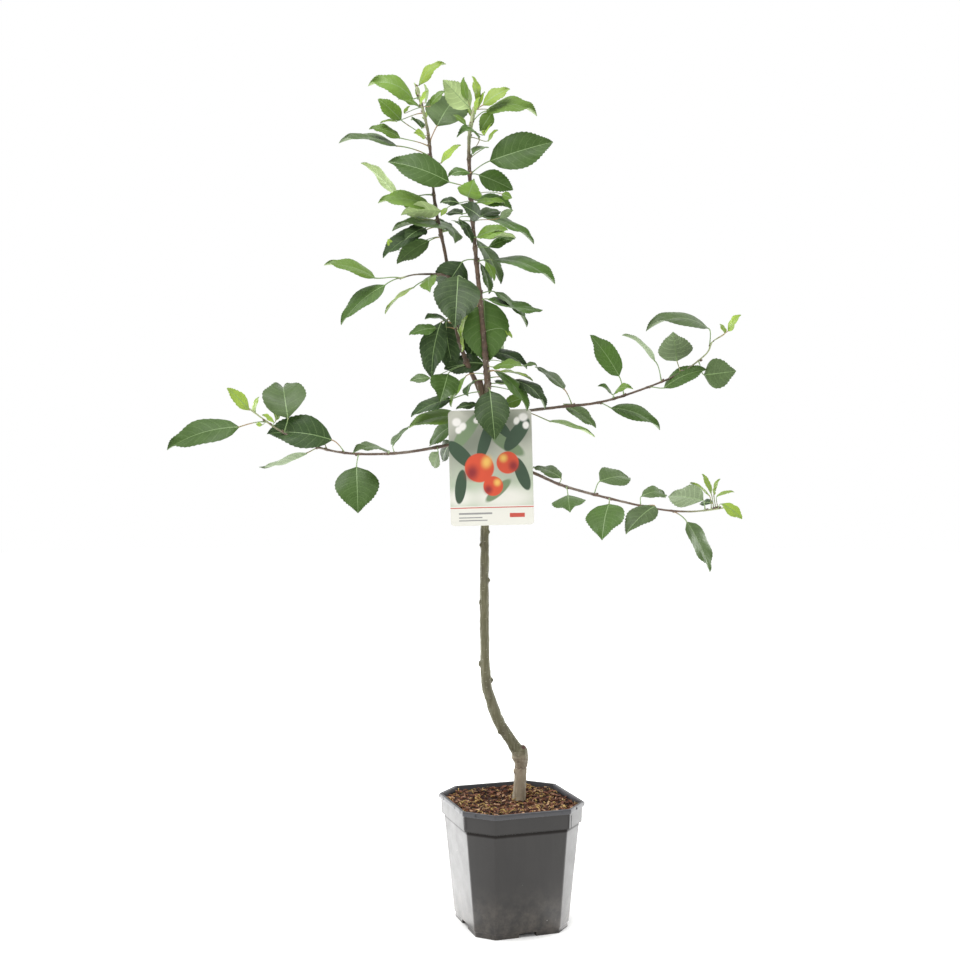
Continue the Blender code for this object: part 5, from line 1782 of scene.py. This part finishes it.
class LeafMesh:
    """Corners and faces of the leaves of one limb, with what each carries."""

    def __init__(self, settings, count):
        self.settings = settings
        self.cells = math.ceil(math.sqrt(2 * count))
        self.corners = []
        self.faces = []
        self.leaves = 0

    def add(self, blade):
        """Add one leaf."""
        draw = random.Random(blade.seed * 7 + 3)
        self.blade = blade
        self.tint = draw.random()
        self.phases = {side: draw.uniform(0, 6.28) for side in (-1, 1)}
        rows = 2 * round(min(LEAF_ROWS[1], max(LEAF_ROWS[0], blade.length / ROW_SPACING)) / 2)
        tops = []
        unders = []
        for i in range(rows + 1):
            rib = UNDER_RIB[0] + (UNDER_RIB[1] - UNDER_RIB[0]) * i / rows
            top = []
            under = []
            for side, share in LEAF_COLUMNS:
                form = self.form(i / rows, i % 2, side, share)
                top.append(self.corner(form, 0.0, 1.0 - i % 2))
                drop = self.settings.thickness + (rib if share == 0.0 else 0.0)
                under.append(top[-1] if share == 1.0 else self.corner(form, drop, 1.0 - i % 2))
            tops.append(top)
            unders.append(under)
        self.weave(tops, unders, [self.teeth(i, rows) for i in range(rows)])
        self.leaves += 1

    def corner(self, form, drop=0.0, vein=0.0):
        """Add a corner at a point of the blade's form or under it, and return its number."""
        x, y, z = form
        self.corners.append((twisted(self.blade, x, y, z - drop), vein, self.tint, x, y))
        return len(self.corners) - 1

    def form(self, part, between, side, share):
        """A point of the upper side in the blade's frame, before its twist."""
        point, half = blade_form(self.blade, part, side, share)
        firm = min(1.0, half / WAVE_WIDTH)
        if between and 0 < share < 1:
            point.z += self.settings.quilt * firm
        ripple = math.sin(2 * math.pi * WAVES * part + self.phases[side])
        point.z += WAVE_HEIGHT * self.blade.wave * ripple * share * share * firm
        return point

    def teeth(self, i, rows):
        """The two teeth between a row and the next, left and right."""
        pair = []
        for side in (-1, 1):
            low, high = (self.form((i + step) / rows, 0, side, 1.0) for step in (0, 1))
            size = self.settings.tooth * min(1.0, math.sin(math.pi * (i + 0.5) / rows) * 2)
            size *= min(1.0, self.blade.length / FULL_TEETH)
            pair.append(self.corner(low.lerp(high, 0.62) + Vector((side * size, size * 0.5, 0.0))))
        return pair

    def weave(self, tops, unders, teeth):
        """Join the rows of both sides by like triangles, which never cross, and close the two ends."""
        tone = TONES.index(self.blade.tone)
        under_slot = len(TONES) + (self.blade.tone in ("young", "bright"))
        rib_slot = len(TONES) + 2
        last = len(LEAF_COLUMNS) - 2
        for i, (left, right) in enumerate(teeth):
            for k in range(last + 1):
                for side, rows in enumerate((tops, unders)):
                    a, b, c, d = rows[i][k], rows[i][k + 1], rows[i + 1][k + 1], rows[i + 1][k]
                    if k == 0:
                        parts = ((left, a, b), (left, b, c), (left, c, d))
                    elif k == last:
                        parts = ((right, c, d), (right, d, a), (right, a, b))
                    elif k <= last // 2:
                        parts = ((a, b, c), (a, c, d))
                    else:
                        parts = ((a, b, d), (b, c, d))
                    slot = rib_slot if k == last // 2 else (tone, under_slot)[side]
                    for part in parts:
                        self.face(part[::-1] if side else part, slot, side)
        foot = [*unders[0], *reversed(tops[0][1:-1])]
        tip = [*tops[-1], *reversed(unders[-1][1:-1])]
        self.face(foot, rib_slot, 0, [-END_SHIFT] * (last + 2) + [0.0] * last)
        self.face(tip, tone, 0, [0.0] * (last + 2) + [END_SHIFT] * last)

    def face(self, numbers, slot, side, shifts=None):
        """Add a face with its material and its place in the leaf's cell of the bake map."""
        row, column = divmod(2 * self.leaves + side, self.cells)
        places = []
        for number, shift in zip(numbers, shifts or [0.0] * len(numbers)):
            x, y = self.corners[number][3:]
            u = 0.5 + x / (self.blade.width * 1.2)
            v = 0.05 + 0.9 * y / (self.blade.length * 1.02) + shift
            places += [(column + u) / self.cells, (row + v) / self.cells]
        self.faces.append((numbers, slot, places))

    def finished(self, name, materials):
        """The leaves as one object."""
        points, veins, tints, *_ = zip(*self.corners)
        faces, slots, places = zip(*self.faces)
        mesh = bpy.data.meshes.new(name)
        mesh.from_pydata(points, [], faces)
        for label, values in (("vein", veins), ("tint", tints)):
            mesh.attributes.new(label, "FLOAT", "POINT").data.foreach_set("value", values)
        mesh.uv_layers.new(name="OFBake").data.foreach_set("uv", [place for each in places for place in each])
        thing = linked(name, mesh)
        paint(thing, *materials, smooth_angle=62)
        mesh.polygons.foreach_set("material_index", slots)
        mesh.update()
        return thing


def leaf_materials(settings):
    """The finishes of the leaves, in the order of their slots: tones, undersides, ribs."""
    tops = []
    for tone in TONES:
        colour = getattr(settings, tone)
        # The painted sheen: each tone mixed with the grey that stands for the sky's reflection.
        sheen = tuple(a * 0.7 + b * 0.3 for a, b in zip(colour, settings.grey))
        tops.append(blade_top(f"leaf_{tone}", colour, settings.rib, sheen))
    return [*tops, blade_under("leaf_underside", settings.under),
            blade_under("young_underside", settings.under_young),
            stalk_green("leaf_rib", settings.rib, darker(settings.rib, 1.1))]


class BuildLeaves(bpy.types.Operator):
    """Make the leaves of each limb, in place of the frame's leaf masses"""

    bl_idname = "potted_tree.leaves"
    bl_label = "Leaves"

    def execute(self, context):
        settings = context.scene.potted_tree.leaf
        materials = leaf_materials(settings)
        for name, blades in plan_crown(settings).items():
            if not blades:
                raise RuntimeError(f"{name} has no leaf")
            mesh = LeafMesh(settings, len(blades))
            for blade in blades:
                mesh.add(blade)
            leaves = mesh.finished(f"leaves_{name}", materials)
            as_piece(leaves, "leaf", *(f"leaves_{mass}" for mass in MASSES[name]))
        return {"FINISHED"}


def stalk_rings(blade):
    """Rings of one leaf stalk, bent from its root on the limb to the foot of the blade."""
    reach = (blade.foot - blade.root).length
    start = (blade.out + Vector((0.0, 0.0, 0.35))).normalized() * reach
    end = blade.along * reach * 0.9
    foot = blade.foot + blade.along * 0.0015
    size = min(1.0, 0.55 + blade.length / 0.16)
    stations = []
    radii = []
    for i in range(STALK_STEPS + 1):
        t = i / STALK_STEPS
        square, cube = t ** 2, t ** 3
        stations.append(blade.root * (2 * cube - 3 * square + 1) + start * (cube - 2 * square + t)
                        + foot * (3 * square - 2 * cube) + end * (cube - square))
        place = t * (len(STALK_RADII) - 1)
        k = min(int(place), len(STALK_RADII) - 2)
        radii.append((STALK_RADII[k] + (STALK_RADII[k + 1] - STALK_RADII[k]) * (place - k)) * size)
    return tube_rings(stations, radii, STALK_SIDES)


class BuildStalks(bpy.types.Operator):
    """Make the stalks that carry the leaves, limb by limb"""

    bl_idname = "potted_tree.stalks"
    bl_label = "Leaf stalks"

    def execute(self, context):
        settings = context.scene.potted_tree.leaf
        green = stalk_green("leaf_stalk", settings.rib, settings.blush)
        for name, blades in plan_crown(settings).items():
            shape = bmesh.new()
            for blade in blades:
                loft(shape, stalk_rings(blade))
            stalks = object_from(f"stalks_{name}", shape)
            paint(stalks, green, smooth_angle=60)
            as_piece(stalks, "leaf")
        return {"FINISHED"}


def bud_template():
    """One winter bud, a metre long: a pointed egg that lies close to the limb."""
    heights, radii = zip(*BUD_PROFILE)
    shape = bmesh.new()
    loft(shape, tube_rings([Vector((0.0, 0.0, height)) for height in heights], radii, BUD_SIDES))
    return object_from("bud_template", shape)


def bud_tree():
    """Geometry nodes that set a bud on each point, aimed along its own direction."""
    tree, given = start_geometry_tree("set_buds", {
        "Bud": "Object", "Length": "Float", "Seed": "Int", "Material": "Material"})
    aim = add_node(tree, "GeometryNodeInputNamedAttribute", {"Name": "aim"}, data_type="FLOAT_VECTOR")
    turn = add_node(tree, "FunctionNodeAlignRotationToVector", {"Vector": aim.outputs[0]}, axis="Z")
    bud = add_node(tree, "GeometryNodeObjectInfo", {"Object": given["Bud"]}).outputs["Geometry"]
    size = sum_node(tree, "MULTIPLY", given["Length"], random_node(tree, "FLOAT", *BUD_SIZES, given["Seed"]))
    placed = add_node(tree, "GeometryNodeInstanceOnPoints", {
        "Points": given["Geometry"], "Instance": bud, "Rotation": turn.outputs[0], "Scale": size})
    return end_geometry_tree(tree, placed.outputs[0], given["Material"])


class BuildBuds(bpy.types.Operator):
    """Set a bud in the axil of every leaf"""

    bl_idname = "potted_tree.buds"
    bl_label = "Buds"

    def execute(self, context):
        settings = context.scene.potted_tree.wood
        points = []
        aims = []
        for name, blades in plan_crown(context.scene.potted_tree.leaf).items():
            stations = smooth_route(LIMBS[name].route, LIMB_SPACING)
            for blade in blades:
                k = min(range(len(stations)), key=lambda i: (stations[i] - blade.root).length)
                k = min(max(k, 1), len(stations) - 2)
                axis = (stations[k + 1] - stations[k - 1]).normalized()
                radial = (blade.out - axis * blade.out.dot(axis)).normalized()
                radius = limb_radius(LIMBS[name], k / len(stations))
                points.append(blade.root + axis * BUD_OFFSET + radial * radius * 0.75)
                aims.extend((axis + radial * 0.55).normalized())
        mesh = bpy.data.meshes.new("bud_points")
        mesh.from_pydata(points, [], [])
        mesh.attributes.new("aim", "FLOAT_VECTOR", "POINT").data.foreach_set("vector", aims)
        template = bud_template()
        buds = made_by_nodes("buds", mesh, bud_tree(), {
            "Bud": template, "Length": BUD_LENGTH, "Seed": BUD_SEED,
            "Material": stalk_green("bud_scales", darker(settings.young, 1.1), settings.skin)})
        bpy.data.objects.remove(template)
        buds.data.shade_smooth()
        as_piece(buds, "young_bark")
        return {"FINISHED"}


def add_light(name, place, aim, power, size):
    """A soft area light, which the camera doesn't see, that looks at a point: a rectangle or a disc."""
    data = bpy.data.lights.new(name, "AREA")
    data.shape = "RECTANGLE" if len(size) == 2 else "DISK"
    data.size = size[0]
    data.size_y = size[-1]
    data.energy = power
    lamp = linked(name, data)
    lamp.location = place
    lamp.rotation_euler = (Vector(aim) - Vector(place)).to_track_quat("-Z", "Y").to_euler()
    lamp.visible_camera = False
    return lamp


class BuildStage(bpy.types.Operator):
    """Set up the pale floor, the even light, the panels round the tree and the camera"""

    bl_idname = "potted_tree.stage"
    bl_label = "Stage"

    def execute(self, context):
        settings = context.scene.potted_tree.stage
        shape = bmesh.new()
        bmesh.ops.create_circle(shape, cap_ends=True, segments=96, radius=settings.reach)
        floor = object_from("floor", shape)
        paint(floor, pale_floor(settings))
        world = bpy.data.worlds.new("studio")
        world.use_nodes = True
        surround = world.node_tree.nodes["Background"]
        seen = add_node(world.node_tree, "ShaderNodeLightPath").outputs["Is Camera Ray"]
        inputs = {0: seen, 1: 1.0 - settings.sky, 2: settings.sky}
        strength = add_node(world.node_tree, "ShaderNodeMath", inputs, operation="MULTIPLY_ADD").outputs[0]
        give(world.node_tree, surround.inputs["Color"], (1.0, 1.0, 1.0))
        give(world.node_tree, surround.inputs["Strength"], strength)
        context.scene.world = world
        for name, place, aim, power, size in PANELS:
            panel = add_light(name, place, aim, power * settings.panels, size)
            panel.visible_diffuse = not name.endswith("mirror")
        lens = bpy.data.cameras.new("camera")
        lens.lens = LENS
        lens.sensor_width = SENSOR
        lens.clip_start = 0.05
        lens.clip_end = 60.0
        camera = linked("camera", lens)
        camera.location = CAMERA_PLACE
        camera.rotation_euler = (math.pi / 2 - CAMERA_PITCH, 0.0, 0.0)
        context.scene.camera = camera
        context.scene.view_settings.view_transform = "Standard"
        return {"FINISHED"}


STEPS = (BuildStage, BuildPot, BuildCompost, BuildTrunk, BuildLimbs, BuildStalks, BuildBuds, BuildLeaves,
         BuildCard, BuildStrap)
SETTING_GROUPS = (PotSettings, CompostSettings, WoodSettings, LeafSettings, CardSettings, StageSettings,
                  TreeSettings)


class PottedTreePanel(bpy.types.Panel):
    """The tree's pieces and settings in the 3D view's sidebar"""

    bl_idname = "VIEW3D_PT_potted_tree"
    bl_label = "Potted tree"
    bl_space_type = "VIEW_3D"
    bl_region_type = "UI"
    bl_category = "Potted Tree"

    def draw(self, context):
        tree = context.scene.potted_tree
        for step in STEPS:
            self.layout.operator(step.bl_idname)
        for group in ("pot", "compost", "wood", "leaf", "card", "stage"):
            box = self.layout.box()
            box.label(text=group.capitalize())
            settings = getattr(tree, group)
            for key in settings.__annotations__:
                box.prop(settings, key)


def register():
    """Register the settings, the operators and the panel."""
    for item in (*SETTING_GROUPS, *STEPS, PottedTreePanel):
        bpy.utils.register_class(item)
    bpy.types.Scene.potted_tree = PointerProperty(type=TreeSettings)


def unregister():
    """Take everything away again."""
    del bpy.types.Scene.potted_tree
    for item in reversed((*SETTING_GROUPS, *STEPS, PottedTreePanel)):
        bpy.utils.unregister_class(item)


def main():
    """Build every piece in order."""
    register()
    bpy.ops.potted_tree.stage()
    bpy.ops.potted_tree.pot()
    bpy.ops.potted_tree.compost()
    bpy.ops.potted_tree.trunk()
    bpy.ops.potted_tree.limbs()
    bpy.ops.potted_tree.stalks()
    bpy.ops.potted_tree.buds()
    bpy.ops.potted_tree.leaves()
    bpy.ops.potted_tree.card()
    bpy.ops.potted_tree.strap()


if __name__ == "__main__":
    main()
